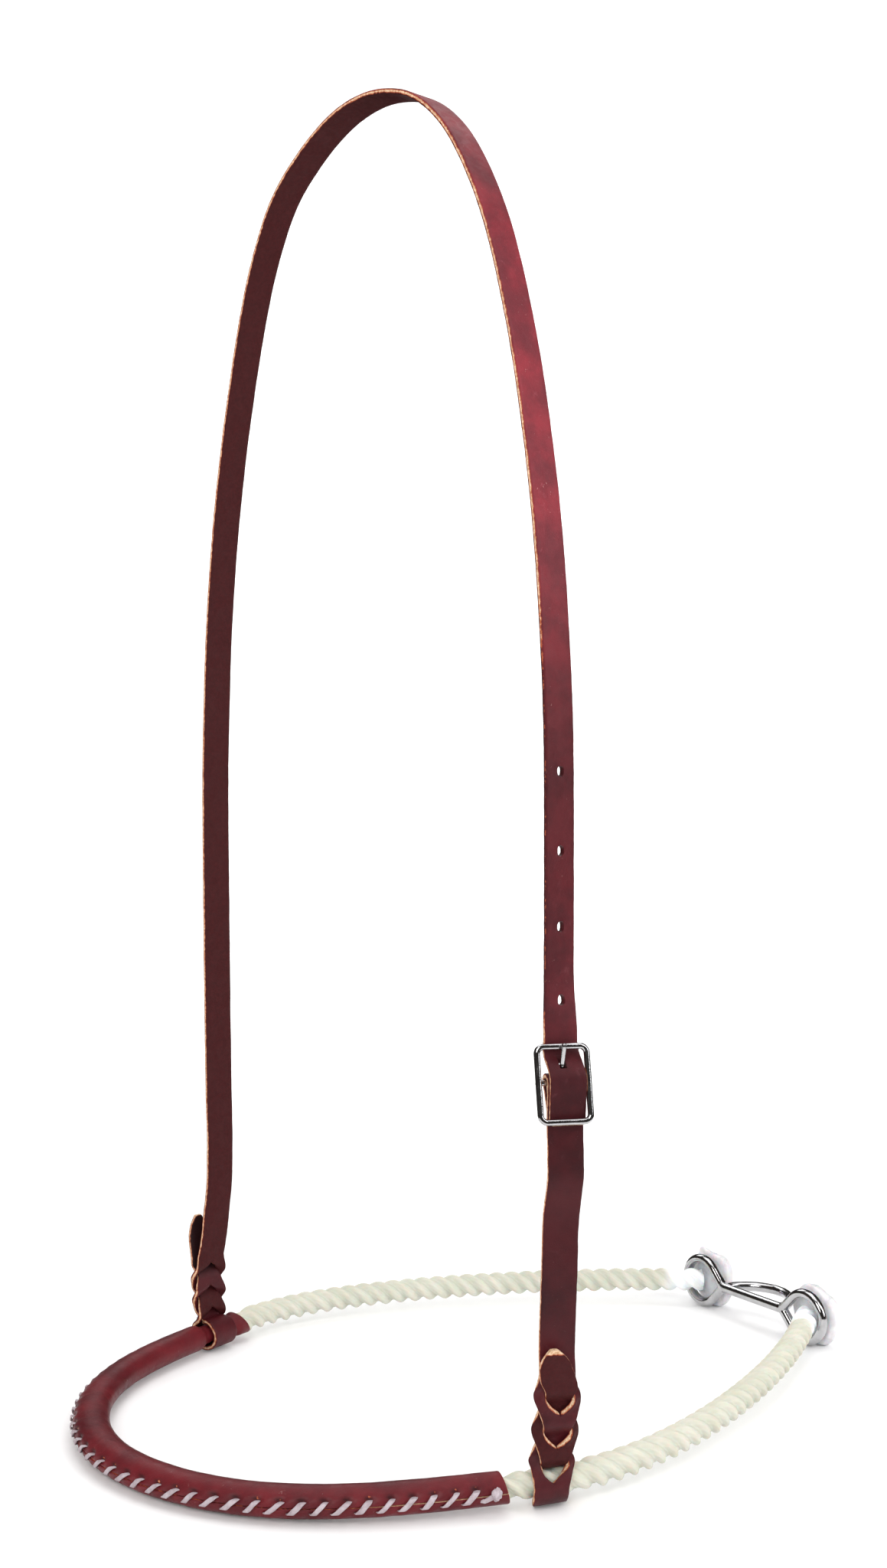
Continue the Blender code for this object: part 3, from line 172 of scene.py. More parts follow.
# Headstall arch: middle between the legs, direction towards the far side and across it, and the
# strap's centre line as (distance from the middle, height) points
ARCH_MIDDLE = np.array((-0.03545, -0.00225))
ARCH_DIRECTION = np.array((-0.09974, 0.99501))
ARCH_ACROSS = np.array((ARCH_DIRECTION[1], -ARCH_DIRECTION[0]))
ARCH_NEAR_TOP = [
    (-0.1018, 0.165), (-0.1019, 0.2144), (-0.1014, 0.249), (-0.0991, 0.284), (-0.0959, 0.3143),
    (-0.0909, 0.3451), (-0.0841, 0.3768), (-0.0742, 0.4098), (-0.0637, 0.4334), (-0.05, 0.4545),
    (-0.033, 0.4695), (-0.014, 0.477), (0.004, 0.4788), (0.022, 0.4755), (0.04, 0.4672),
    (0.0558, 0.4554), (0.0694, 0.4343), (0.0784, 0.4115), (0.0855, 0.3878), (0.0916, 0.3636),
    (0.0966, 0.3389), (0.1004, 0.3138), (0.1031, 0.2884), (0.1046, 0.2628), (0.1057, 0.23),
    (0.1052, 0.1856), (0.1041, 0.1343), (0.1031, 0.0959),
]

# Buckle on the near leg
BUCKLE_HEIGHT = 0.13
BUCKLE_WIRE = 0.00102
BUCKLE_HALF_WIDTH = 0.0084
BUCKLE_HALF_HEIGHT = 0.0117
BUCKLE_CORNER = 0.0022
BUCKLE_BAR_SETBACK = 0.003
BUCKLE_PLANE_OFFSET = 0.0086
BUCKLE_COCK = math.radians(-0.5)
BUCKLE_SIDE_PLAY = -0.0012
BUCKLE_COCK_REACH = 0.026
FOLD_CLEARANCE = 0.0001
LAYER_TO_FRAME = 0.0002
TONGUE_WIRE = 0.00085
TONGUE_SLOT_HALF_WIDTH = 0.0017
TONGUE_LIFT = math.radians(4)
BILLET_HOLE_HEIGHTS = (0.1561, 0.1798, 0.2043, 0.23)
BILLET_HOLE_RADIUS = 0.0015
BILLET_HOLE_STRETCH = 0.0003
PUNCH_SIDES = 32
# The height over the centre bar at which the fold's slot for the tongue starts
FOLD_SLOT_BOTTOM = -0.0046

# How the finished noseband stands
STAND_PITCH = math.atan(0.02313)
STAND_LIFT = 0.00801
STAND_CENTRE = (-0.01936, 0.00365)

# Finer shapes than the CAD's
SPLINE_STEPS = 40
TANGENT_REACH = 0.001
NEAR_GRIP_SETBACK = 0.0028
ROPE_STEP = 0.001
ROPE_LAY = 0.0207
STRAND_COLUMNS = 18
STRAND_GROOVE = 0.3
STRAND_SWELL = 1.05
# A strand's centre lies 2 / sqrt(3) of its radius from the rope's
STRAND_SPREAD = 1.1547
STRAND_SPREAD_SQUARED = 1.3333
COVER_ROWS = 520
COVER_COLUMNS = 56
COVER_SLOT_SHOWN = 0.0003
COVER_NEAR_SLANT = 0.0024
COVER_FAR_SLANT = 0.0065
COVER_FAR_REACH = 0.003
SEAM_PALE_REACH = 0.06
COVER_PRESSED = 0.00042
COVER_PRESS_REACH = (0.0078, 0.003)
COVER_ROUND = 0.00022
COVER_PUCKER = 0.00017
# Depths of the dimples at a stitch's upper and lower holes, and their spread
STITCH_DIMPLES = (0.00062, 0.0004)
DIMPLE_SPREAD = (0.00125, 0.00095)
STITCH_REACH = 0.0021
STITCH_WIDTH = 0.0023
STITCH_THICKNESS = 0.0005
# A lace's section from its lower left corner, and which of its points lie on its raw sides
LACE_SHAPE = [(-1.0, -0.5), (-0.86, -1.0), (0.86, -1.0), (1.0, -0.5), (1.0, 0.5), (0.86, 1.0)]
LACE_SHAPE += [(0.4, 1.1), (0.0, 1.14), (-0.4, 1.1), (-0.86, 1.0), (-1.0, 0.5)]
LACE_RAW_SIDES = (0, 3, 4, 10)
LACE_KNOT_SIZE = (0.0017, 0.0013, 0.0021)
STRAP_COLUMNS = 5
STRAP_STEP_IN_KNOT = 0.00055
STRAP_STEP_AT_BUCKLE = 0.0009
STRAP_STEP_ON_ARCH = 0.002
EDGE_ROUND = 0.0003
EDGE_COLUMNS = (0.0, 0.00009, 0.0003)
EDGE_RAWNESS = (0.36, 0.2, 0.0)
# How far a strap's edges wander in long and short waves, how much its cut sides bulge and its
# skin is rumpled, and the gap under which its slit counts as closed
EDGE_WANDER = (0.0001, 0.00005)
EDGE_BULGE = 0.0001
SKIN_RUMPLE = 0.00004
SLIT_CLOSED = 0.00035
# The grain's sinking round a punched hole: its depth, spread and reach
HOLE_SINK, HOLE_SINK_SPREAD, HOLE_SINK_REACH = 0.00012, 0.0008, 0.005
SHADE_SPOT_RADIUS = 0.0016
# Painted shade on the holed end round the tongue's slit, as (sideways, height)
TONGUE_SLOT_SHADE = ((-0.0013, 0.0108), (0.0012, 0.0114), (0.0, 0.009))
NEAR_TURN = math.radians(6)
FAR_TURN = math.radians(12)
BUCKLE_LEAN = 0.0022
BUCKLE_SKIN = 0.00016
# The buckle's wire is drawn a little thicker than the CAD's, and its bar thinner than that
WIRE_SHOWN, BAR_SHOWN = 1.03, 0.92
TONGUE_PLAY = 0.0002
# The leather's middle behind the lower end bar, the fold's radius and the tongue's rest
BEHIND_FRAME = BUCKLE_BAR_SETBACK - BUCKLE_WIRE - STRAP_THICKNESS / 2 - LAYER_TO_FRAME + BUCKLE_LEAN
FOLD_RADIUS = BUCKLE_WIRE + FOLD_CLEARANCE + STRAP_THICKNESS / 2
TONGUE_REST_DEPTH = BUCKLE_WIRE + TONGUE_WIRE + TONGUE_PLAY
TONGUE_ANGLE = math.atan2(TONGUE_REST_DEPTH + BUCKLE_BAR_SETBACK - BUCKLE_LEAN, BUCKLE_HALF_HEIGHT)
TONGUE_LENGTH = BUCKLE_HALF_HEIGHT / math.cos(TONGUE_ANGLE) + 0.0014

# Leather: its deep, rich and worn dye, its flesh side and its roughness. The strap's painted light
# and shade are a base and changes over its height, as (from, to, change), with a painted sheen high
# on its legs
STRAP_LEATHER = [(0.048, 0.0062, 0.009), (0.088, 0.0078, 0.0118), (0.13, 0.034, 0.042)]
STRAP_LEATHER += [(0.05, 0.004, 0.0048), 0.4]
COVER_LEATHER = [(0.078, 0.0075, 0.011), (0.13, 0.01, 0.0145), (0.17, 0.033, 0.038)]
COVER_LEATHER += [(0.085, 0.01, 0.012), 0.36]
STRAP_PAINTED_LIGHT = [0.8, (0.045, 0.065, -0.23), (0.12, 0.16, 0.62), (0.165, 0.215, -0.27)]
STRAP_PAINTED_LIGHT += [(0.24, 0.33, 1.55), (0.4, 0.45, -0.55)]
SCUFFED_LEATHER = (0.32, 0.18, 0.17)
# Near black for painted shade, laid wherever a piece's shade value marks it
PAINTED_SHADE_BLACK = (0.01, 0.0035, 0.004)
DYED_EDGE = (0.33, 0.075, 0.03)
TAN_FIBRES = ((0.4, 0.23, 0.12), (0.68, 0.5, 0.34))
YARN_TURN = (26.0, 40.0, 0.0)

# Camera, found from the photograph
PHOTO_HEIGHT = 2048
SENSOR_HEIGHT = 24.0
CAMERA_FOCAL_PIXELS = 2145.38
CAMERA_DISTANCE = 0.63127
CAMERA_HEIGHT = 0.22499
CAMERA_YAW = 34.219
CAMERA_PITCH = 0.0939

# Stage, and light as (name, place, target, size, power, tint)
PAPER_DROP = -0.0002
PAPER_SIDES = 96
COVE_START, COVE_RADIUS = 1.15, 0.6
ROOM_LIGHT = 0.1
FLOOR_GLOW = 0.02
BACKDROP_GLOW = 0.42
ROOM_TINT = (0.4, 0.36, 0.33, 1.0)
LIGHTS = [
    ("key_softbox", (-0.95, -0.8, 0.95), (0.0, 0.0, 0.18), (0.8, 0.8), 9.0, (1.0, 0.98, 0.97)),
    ("fill_softbox", (0.75, -1.05, 0.6), (0.0, 0.0, 0.15), (0.5, 0.7), 4.0, (0.97, 0.98, 1.0)),
    ("top_softbox", (0.05, 0.1, 1.45), (0.0, 0.0, 0.0), (1.3, 1.3), 10.5, (1.0, 1.0, 1.0)),
    ("sheen_softbox", (0.4, -0.85, 1.05), (-0.05, -0.08, 0.4),
     (0.5, 0.5), 3.2, (1.0, 0.97, 0.98)),
    ("back_softbox", (0.35, 1.05, 0.95), (0.0, 0.0, 0.15), (0.9, 0.5), 3.6, (1.0, 1.0, 1.0)),
]


def unit(vector):
    return vector / np.linalg.norm(vector)


def units(vectors):
    """The vectors along an array's last axis, each made one long."""
    return vectors / np.linalg.norm(vectors, axis=-1)[..., None]


def bell(*offsets):
    """1 where every offset is 0, falling off smoothly with each of them."""
    return np.exp(-sum(offset**2 for offset in offsets))


def smooth_step(value):
    value = min(1.0, max(0.0, value))
    return value * value * (3 - 2 * value)


def fade(distance, centre, half_length, length):
    """1 within half_length of a place on the rope, and 0 past a smooth fade beyond it."""
    return 1 - smooth_step((abs(distance - centre) - half_length) / length)


def spline(points, parameters):
    """Catmull-Rom interpolation of rows of numbers, with a row at each whole parameter."""
    points = np.asarray(points, float)
    padded = np.vstack([2 * points[0] - points[1], points, 2 * points[-1] - points[-2]])
    out = []
    for parameter in parameters:
        index = min(int(parameter), len(points) - 2)
        local = parameter - index
        before, start, end, after = padded[index : index + 4]
        curve = 2 * start + (end - before) * local
        curve = curve + (2 * before - 5 * start + 4 * end - after) * local**2
        out.append(0.5 * (curve + (3 * start - before - 3 * end + after) * local**3))
    return np.array(out)


def run_lengths(points):
    """The length along a line of points from its first to each of them."""
    return np.concatenate([[0], np.cumsum(np.linalg.norm(np.diff(points, axis=0), axis=1))])


def read_off(wanted, keys, rows):
    """Rows of numbers, interpolated column by column at the wanted keys."""
    return np.stack([np.interp(wanted, keys, column) for column in np.transpose(rows)], axis=-1)


def fine_line(points):
    """Close points on the spline through the given ones, and their lengths along it."""
    fine = spline(points, np.linspace(0, len(points) - 1, SPLINE_STEPS * len(points)))
    return fine, run_lengths(fine)


def resampled(points, step):
    """The spline through the rows, sampled about every step of its length."""
    fine, length = fine_line(points)
    return read_off(np.linspace(0, length[-1], max(2, round(length[-1] / step) + 1)), length, fine)


def grid_faces(rows, columns, looped=False):
    """Quads between closed rings of points, and from the last ring to the first where looped."""
    faces = []
    for i in range(rows if looped else rows - 1):
        here, there = i * columns, (i + 1) % rows * columns
        for j in range(columns):
            k = (j + 1) % columns
            faces.append((here + j, here + k, there + k, there + j))
    return faces


def tube_faces(rows, columns, looped=False):
    """The same quads, with flat ends where the rings aren't looped."""
    faces = grid_faces(rows, columns, looped)
    if not looped:
        faces += [tuple(range(columns))[::-1], tuple(range((rows - 1) * columns, rows * columns))]
    return faces


def add_tube(points, faces, rings, looped=False):
    """Adds a tube through rings to a mesh's points and faces."""
    start = len(points)
    points += [point for ring in rings for point in ring]
    for face in tube_faces(len(rings), len(rings[0]), looped):
        faces.append(tuple(start + k for k in face))


def tube_rings(path, first_axis, half_sizes, sides, squareness=1.0, looped=False):
    """Rings round a path. The first half size lies along first_axis made square to the path."""
    path = np.asarray(path, float)
    along = np.gradient(path, axis=0)
    if looped:
        along = np.roll(path, -1, axis=0) - np.roll(path, 1, axis=0)
    power = 2 * squareness
    rings = []
    for centre, direction in zip(path, along):
        direction = unit(direction)
        across = np.asarray(first_axis, float)
        across = unit(across - direction * across.dot(direction))
        up = np.cross(direction, across)
        ring = []
        for j in range(sides):
            angle = 2 * math.pi * (j + 0.5) / sides
            c, s = math.cos(angle), math.sin(angle)
            bulge = 1 / (abs(c) ** power + abs(s) ** power) ** (0.5 / squareness)
            ring.append(centre + bulge * (half_sizes[0] * c * across + half_sizes[1] * s * up))
        rings.append(ring)
    return rings


# ------------------------------------------------- the rope and its cover

ROPE_HALF = np.array(ROPE_ROUTE)
ROPE_LINE, ROPE_LENGTHS = fine_line(np.vstack([ROPE_HALF[::-1] * (1, -1), ROPE_HALF[1:]]))
ROPE_LENGTH = ROPE_LENGTHS[-1]


def rope_point(distance):
    return read_off(distance, ROPE_LENGTHS, ROPE_LINE)


def rope_frame(distance):
    """Centre, direction and outward normal of the rope at a distance from its near end."""
    ahead = unit(rope_point(distance + TANGENT_REACH) - rope_point(distance - TANGENT_REACH))
    return rope_point(distance), ahead, np.array([-ahead[1], ahead[0]])


def rope_distance(x, near_side):
    """The distance along the rope at which its near or far run passes a given X."""
    middle = len(ROPE_LINE) // 2
    part = slice(0, middle) if near_side else slice(middle, None)
    return ROPE_LENGTHS[part][np.argmin(abs(ROPE_LINE[part, 0] - x))]


def loop_frame(at, near_side):
    """Origin, width direction and outward direction of the strap at one of its loops."""
    centre, ahead, _ = rope_frame(at)
    width_axis = -ahead if near_side else ahead
    outward = np.array([width_axis[1], -width_axis[0]])
    return centre, width_axis, -outward if outward.dot(centre) < 0 else outward


COVER_START = rope_distance(COVER_NEAR_END_X, True)
COVER_END = rope_distance(COVER_FAR_END_X, False)
COVER_MIDDLE, COVER_HALF = (COVER_START + COVER_END) / 2, (COVER_END - COVER_START) / 2
NEAR_LOOP_AT = rope_distance(NEAR_LOOP_X, True)
FAR_LOOP_AT = rope_distance(FAR_LOOP_X, False)
NEAR_GRIP_AT = NEAR_LOOP_AT - NEAR_GRIP_SETBACK
NEAR_FRAME, FAR_FRAME = loop_frame(NEAR_LOOP_AT, True), loop_frame(FAR_LOOP_AT, False)
LACE_START, LACE_END = COVER_START + LACE_NEAR_MARGIN, COVER_END - LACE_FAR_MARGIN
LACE_PLACES = np.linspace(LACE_START, LACE_END, round((LACE_END - LACE_START) / LACE_PITCH) + 1)


def cover_half_sizes(distance):
    """Outer half width and half height of the cover at a distance along the rope."""
    to_end = abs(distance - COVER_MIDDLE) / (COVER_END - COVER_MIDDLE)
    width = COVER_HALF_WIDTH_AT_NOSE
    width += (COVER_HALF_WIDTH_AT_ENDS - COVER_HALF_WIDTH_AT_NOSE) * smooth_step(to_end)
    squeeze = COVER_SQUEEZE_IN_LOOP * fade(distance, FAR_LOOP_AT, *COVER_SQUEEZE_REACH)
    return width - squeeze, COVER_HALF_HEIGHT - squeeze


def rope_half_sizes(distance):
    """Half width and half height of the rope, which the cover and the near loop squeeze."""
    inside = cover_half_sizes(min(max(distance, COVER_START), COVER_END))
    squeezed = np.array(inside) - COVER_WALL - ROPE_GAP
    covered = fade(distance, COVER_MIDDLE, COVER_HALF + 0.0008, 0.004)
    loop = fade(distance, NEAR_GRIP_AT, 0.0118, 0.003)
    bare = ROPE_RADIUS + (ROPE_RADIUS_IN_NEAR_LOOP - ROPE_RADIUS) * loop
    return bare + (squeezed - bare) * covered


def cover_point(distance, angle, inset=0.0):
    """A point on the cover's section. Angle 0 faces away from the nose, and 90 degrees is up."""
    centre, _, outward = rope_frame(distance)
    outward = -outward if outward.dot(centre) < 0 else outward
    half_width, half_height = cover_half_sizes(distance)
    flat = centre + outward * (half_width - inset) * math.cos(angle)
    return np.array([*flat, (half_height - inset) * math.sin(angle)])


def lace_section(distance, angle, lift):
    """A lace point over the cover, and the direction out of the leather there."""
    low = cover_point(distance, angle)
    out = unit(cover_point(distance, angle, -0.001) - low)
    return low + out * lift, out


# ------------------------------------------------ the straps' own stations


def leg_station(height, share, offset, reach=NO_REACH):
    """A station of a slit strap: inner edge (x, n, z), then outer edge (x, n, z). It keeps at
    least reach away from the rope's axis."""
    gap, inner, outer, outer_edge = read_off(share, SLIT_SECTION[:, 0], SLIT_SECTION[:, 1:])
    inner, outer_edge = max(offset + inner, reach), max(offset + outer_edge, reach)
    return (gap, inner, height, outer, outer_edge, height)


def pass_station(height, share, offset):
    """A station of the layer that is drawn through a slit, gathered to fit it."""
    half_width, depth = read_off(share, PASSING_SECTION[:, 0], PASSING_SECTION[:, 1:])
    return flat_station(height, offset + depth, half_width)


def flat_station(height, depth, half_width=STRAP_HALF_WIDTH, gap=0.0):
    return (gap, depth, height, half_width, depth, height)


def loop_station(bore, angle):
    """A station of the strap where it wraps the rope. Angle 0 is outward and 90 degrees is up."""
    depth, height = (size + STRAP_THICKNESS / 2 for size in bore)
    return flat_station(height * math.sin(angle), depth * math.cos(angle))


def eased(stations):
    """The stations, each drawn halfway towards its neighbours, with the slits left as they are."""
    table = np.array(stations)
    table[1:-1, 1:] = (table[:-2, 1:] + 2 * table[1:-1, 1:] + table[2:, 1:]) / 4
    return table


def knot_going_down(bore, offset, heights):
    """The standing strap from above the knot to the loop round the rope.

    It is slit for the tip, is drawn through the rising strap's slit, and is slit again where that
    strap comes out over the rope."""
    first, pitch, _ = heights
    stations = []
    for share in KNOT_SHARES:
        stations.append(leg_station(first + 2 * pitch + share * pitch, share, offset))
    for share in KNOT_SHARES[3:-1]:
        stations.append(pass_station(first + pitch + share * pitch, share, offset))
    half_depth, half_height = (size + STRAP_THICKNESS / 2 for size in bore)
    for share in KNOT_SHARES[2:]:
        height = first + share * pitch
        reach = NO_REACH
        if height < half_height:
            reach = half_depth * math.sqrt(1 - (height / half_height) ** 2)
        stations.append(leg_station(height, share, offset, reach))
    start = math.asin(first / half_height)
    stations += [loop_station(bore, angle) for angle in np.linspace(start - 0.2, -1.4, 8)]
    return eased(stations)


def knot_going_up(bore, offset, heights, tip_lean):
    """The same strap from under the rope, up its back and over it, and up through the knot.

    It comes out through its own first slit, is slit for the standing strap, and ends as a pointed
    tip drawn through the last slit."""
    first, pitch, tip = heights
    second, third = first + pitch, first + 2 * pitch
    stations = [loop_station(bore, angle) for angle in np.linspace(-1.62, -math.pi - 0.9, 14)]
    crest = bore[1] + STRAP_THICKNESS / 2
    for drop, depth, half_width in [*OVER_ROPE, (0.0005, offset - 0.0009, 0.0045)]:
        stations.append(flat_station(crest - drop, depth, half_width))
    for share in (0.46, 0.56, 0.66, 0.75, 0.85):
        stations.append(pass_station(first + share * pitch, share, offset))
    for share in reversed(KNOT_SHARES[2:]):
        stations.append(leg_station(second + share * pitch, share, offset))
    for share in reversed(KNOT_SHARES[2:-1]):
        lean = tip_lean * smooth_step((share - 0.3) / 3)
        station = np.array(pass_station(third + share * pitch, share, offset))
        station[[1, 4]] += lean
        stations.append(station)
    base = third + pitch
    for share, half_width in TIP_TAPER:
        depth = offset + 0.0016 + tip_lean * smooth_step((0.7 + 2.3 * share) / 3)
        stations.append(flat_station(base + share * (tip - base), depth, half_width))
    return eased(stations)


def loop_twist(loop, turn):
    """A function that gives a strap's width direction, which turns a little above the rope."""
    x, y = loop[1]

    def twist(height):
        angle = turn * smooth_step((height - 0.004) / 0.012)
        c, s = math.cos(angle), math.sin(angle)
        return np.array([x * c + y * s, y * c - x * s])

    return twist


near_twist, far_twist = loop_twist(NEAR_FRAME, NEAR_TURN), loop_twist(FAR_FRAME, FAR_TURN)


def billet_twist(height):
    """The near strap's width direction, which turns to the arch's above the buckle."""
    width_axis = near_twist(height)
    share = smooth_step((height - BUCKLE_HEIGHT - 0.0055) / 0.015)
    return unit(width_axis + share * (ARCH_ACROSS - width_axis))


def sway_of(table):
    """A function that gives a strap's sideways shift and its turn in its own plane at a height."""
    heights, shifts = zip(*table)

    def sway(height):
        above = height - BUCKLE_HEIGHT
        cock = BUCKLE_COCK * bell(above / BUCKLE_COCK_REACH) if table is NEAR_SWAY else 0.0
        return np.interp(height, heights, shifts) - cock * above, cock

    return sway


def rope_bend(loop, sideways):
    """How far outward the rope's line lies at a sideways distance from the middle of a loop."""
    origin, width_axis, outward = loop
    at = ROPE_LENGTHS[np.argmin(np.linalg.norm(ROPE_LINE - origin, axis=1))]
    sense = math.copysign(1.0, width_axis.dot(rope_frame(at)[1]))
    return (rope_point(at + sense * sideways) - origin).dot(outward)


def place_stations(stations, loop, table, twist, skew=0.0):
    """Rows of six points in the noseband frame from stations in a strap's own frame. The skew is
    how much further along the rope a loop's back runs than its front."""
    origin, width_axis, outward = loop
    sway = sway_of(table)
    rows = []
    for station in stations:
        inner, edge = np.array(station[:3]), np.array(station[3:])
        shift, cock = sway(edge[2])
        behind = smooth_step((0.006 - edge[1]) / 0.012)
        on_rope = 1 - smooth_step((edge[2] - 0.004) / 0.0045)
        shift += skew * behind * on_rope
        across = twist(edge[2])
        middle = (inner + edge) / 2
        row = []
        for number, place in enumerate((edge, middle, inner, inner, middle, edge)):
            sideways = place[0] if number > 2 else -place[0]
            depth = place[1]
            if on_rope > 0:
                depth += on_rope * rope_bend(loop, shift + sideways)
            flat = origin + shift * width_axis + sideways * across + depth * outward
            row.append((*flat, place[2] + sideways * cock))
        rows.append(row)
    return rows


def buckle_layer(layer, angles):
    """The route of one leather layer over the centre bar and down behind the lower end bar.

    Layer 0 is the holed end on the outside, layer 1 the fold's front and layer 2 its turned-back
    end. Each point is (out of the bar's axis, above the bar)."""
    outer = FOLD_RADIUS + LAYER_PITCH
    slant = math.atan2(BUCKLE_HALF_HEIGHT, BEHIND_FRAME)
    slant -= math.acos(outer / math.hypot(BUCKLE_HALF_HEIGHT, BEHIND_FRAME))
    radius = outer - layer * LAYER_PITCH
    route = [(radius * math.cos(a), radius * math.sin(a)) for a in angles if a > -slant]
    corner = np.array((BEHIND_FRAME, -BUCKLE_HALF_HEIGHT))
    corner = corner + layer * LAYER_PITCH * np.array((-1.0, math.tan(slant / 2)))
    up = np.array((math.sin(slant), math.cos(slant)))
    if layer < 2:
        leave = np.array((radius * math.cos(slant), -radius * math.sin(slant)))
    else:
        leave = corner + up * ((-FOLD_RADIUS - corner[0]) / up[0])
        route.append(leave * (1, 0.55))
    reach = np.linalg.norm(leave - corner)
    route += [corner + up * reach * share for share in (1.0, 0.8, 0.55, 0.3)]
    return route + [corner + up * 0.0008 + (-0.0001, 0), corner - (0, 0.001), corner - (0, 0.0035)]


def layer_stations(route, half_width=STRAP_HALF_WIDTH, slot_below=math.inf):
    """Strap stations along a layer's route, slit for the tongue above a height."""
    bar = BUCKLE_PLANE_OFFSET - BUCKLE_BAR_SETBACK
    stations = []
    for depth, height in route:
        gap = TONGUE_SLOT_HALF_WIDTH if height > slot_below else 0.0
        stations.append(flat_station(BUCKLE_HEIGHT + height, bar + depth, half_width, gap))
    return stations


def billet_stations():
    """The end of the strap that passes through the buckle, from its tip upward."""
    lower = buckle_layer(0, np.linspace(0, -1, 9))[:-1]
    inward = 0.0008 + 2 * BUCKLE_LEAN
    upper = []
    for depth, height in lower[1:]:
        upper.append((depth - inward * smooth_step((-height - 0.002) / 0.0085), -height))
    depth, height = lower[-1]
    tip = layer_stations([(depth, height - 0.0005)], STRAP_HALF_WIDTH * 0.9)
    return tip + layer_stations(lower[::-1] + upper)


def arch_rows():
    """The strap from above the buckle over the poll and down the far cheek."""
    rows = []
    for distance, height in resampled(ARCH_NEAR_TOP, 0.0105):
        centre = ARCH_MIDDLE + distance * ARCH_DIRECTION
        shares = (-1, -0.5, 0, 0, 0.5, 1)
        rows.append([(*(centre + s * STRAP_HALF_WIDTH * ARCH_ACROSS), height) for s in shares])
    return rows


def joined_rows(lower, upper):
    """Two runs of strap rows with three more between them that ease one into the other."""
    last, first = np.array(lower[-1]), np.array(upper[0])
    between = []
    for share in (0.25, 0.5, 0.75):
        row = last + smooth_step(share) * (first - last)
        row[:, 2] = last[:, 2] + share * (first - last)[:, 2]
        between.append(row)
    return np.concatenate([lower, between, upper])


def near_leg_point(height):
    distances, heights = np.transpose(ARCH_NEAR_TOP[:4])
    flat = ARCH_MIDDLE + np.interp(height, heights, distances) * ARCH_DIRECTION
    return np.array([*flat, height])


def buckle_point(sideways, depth, height):
    """A point from the buckle's own frame: along the bar, out of the frame's plane, and up."""
    centre, _, outward = NEAR_FRAME
    shift, _ = sway_of(NEAR_SWAY)(BUCKLE_HEIGHT)
    c, k = math.cos(BUCKLE_COCK), math.sin(BUCKLE_COCK)
    sideways, height = sideways * c - height * k, height * c + sideways * k
    sideways += shift + BUCKLE_SIDE_PLAY
    width_axis = near_twist(BUCKLE_HEIGHT)
    flat = centre + sideways * width_axis + (BUCKLE_PLANE_OFFSET + depth) * outward
    return np.array([*flat, BUCKLE_HEIGHT + height])


# ---------------------------------------------------------------- objects


def to_world(points):
    """Points of the flat noseband frame, tipped as the noseband stands."""
    points = np.asarray(points, float)
    c, s = math.cos(STAND_PITCH), math.sin(STAND_PITCH)
    x = points[..., 0] * c - points[..., 2] * s + STAND_CENTRE[0]
    y = points[..., 1] + STAND_CENTRE[1]
    z = points[..., 0] * s + points[..., 2] * c + STAND_LIFT
    return np.stack([x, y, z], axis=-1)


def rumple(point, scale, seed=0.0):
    """Smooth noise from -1 to 1 at a point, with features 1 / scale metres across."""
    x, y, z = (scale * value for value in point)
    return noise.noise(Vector((x + seed, y - seed, z + 2 * seed)))


def linked(name, data):
    """A new object in the scene's own collection."""
    made = bpy.data.objects.new(name, data)
    bpy.context.scene.collection.objects.link(made)
    return made


def plain_object(name, points, faces):
    """A mesh object from points of the noseband frame, with its faces turned outward."""
    mesh = bpy.data.meshes.new(name)
    mesh.from_pydata([tuple(p) for p in to_world(points)], [], faces)
    made = linked(name, mesh)
    shape = bmesh.new()
    shape.from_mesh(mesh)
    bmesh.ops.recalc_face_normals(shape, faces=shape.faces)
    shape.to_mesh(mesh)
    shape.free()
    return made


def tube_object(name, *tubes):
    """A mesh object of tubes, each given as its rings and whether they are looped."""
    points, faces = [], []
    for rings, looped in tubes:
        add_tube(points, faces, rings, looped)
    return plain_object(name, points, faces)


def set_values(mesh, **values):
    """Stores numbers on a mesh's points, for its material to read."""
    for name, numbers in values.items():
        attribute = mesh.attributes.get(name) or mesh.attributes.new(name, "FLOAT", "POINT")
        attribute.data.foreach_set("value", np.asarray(numbers, np.float32))


def apply_modifiers(made):
    """Turns an object's modifiers into its own mesh."""
    seen = made.evaluated_get(bpy.context.evaluated_depsgraph_get())
    mesh = bpy.data.meshes.new_from_object(seen)
    made.modifiers.clear()
    made.data = mesh


def finish_piece(made, surface, body, node_name, sharp=50):
    """Gives a piece its material and shading, and hangs it on its body in place of its CAD node."""
    made.data.materials.clear()
    made.data.materials.append(surface)
    made.data.shade_smooth()
    if sharp:
        made.data.set_sharp_from_angle(angle=math.radians(sharp))
    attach(made, body)
    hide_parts(node_name)


# -------------------------------------------------------------- materials


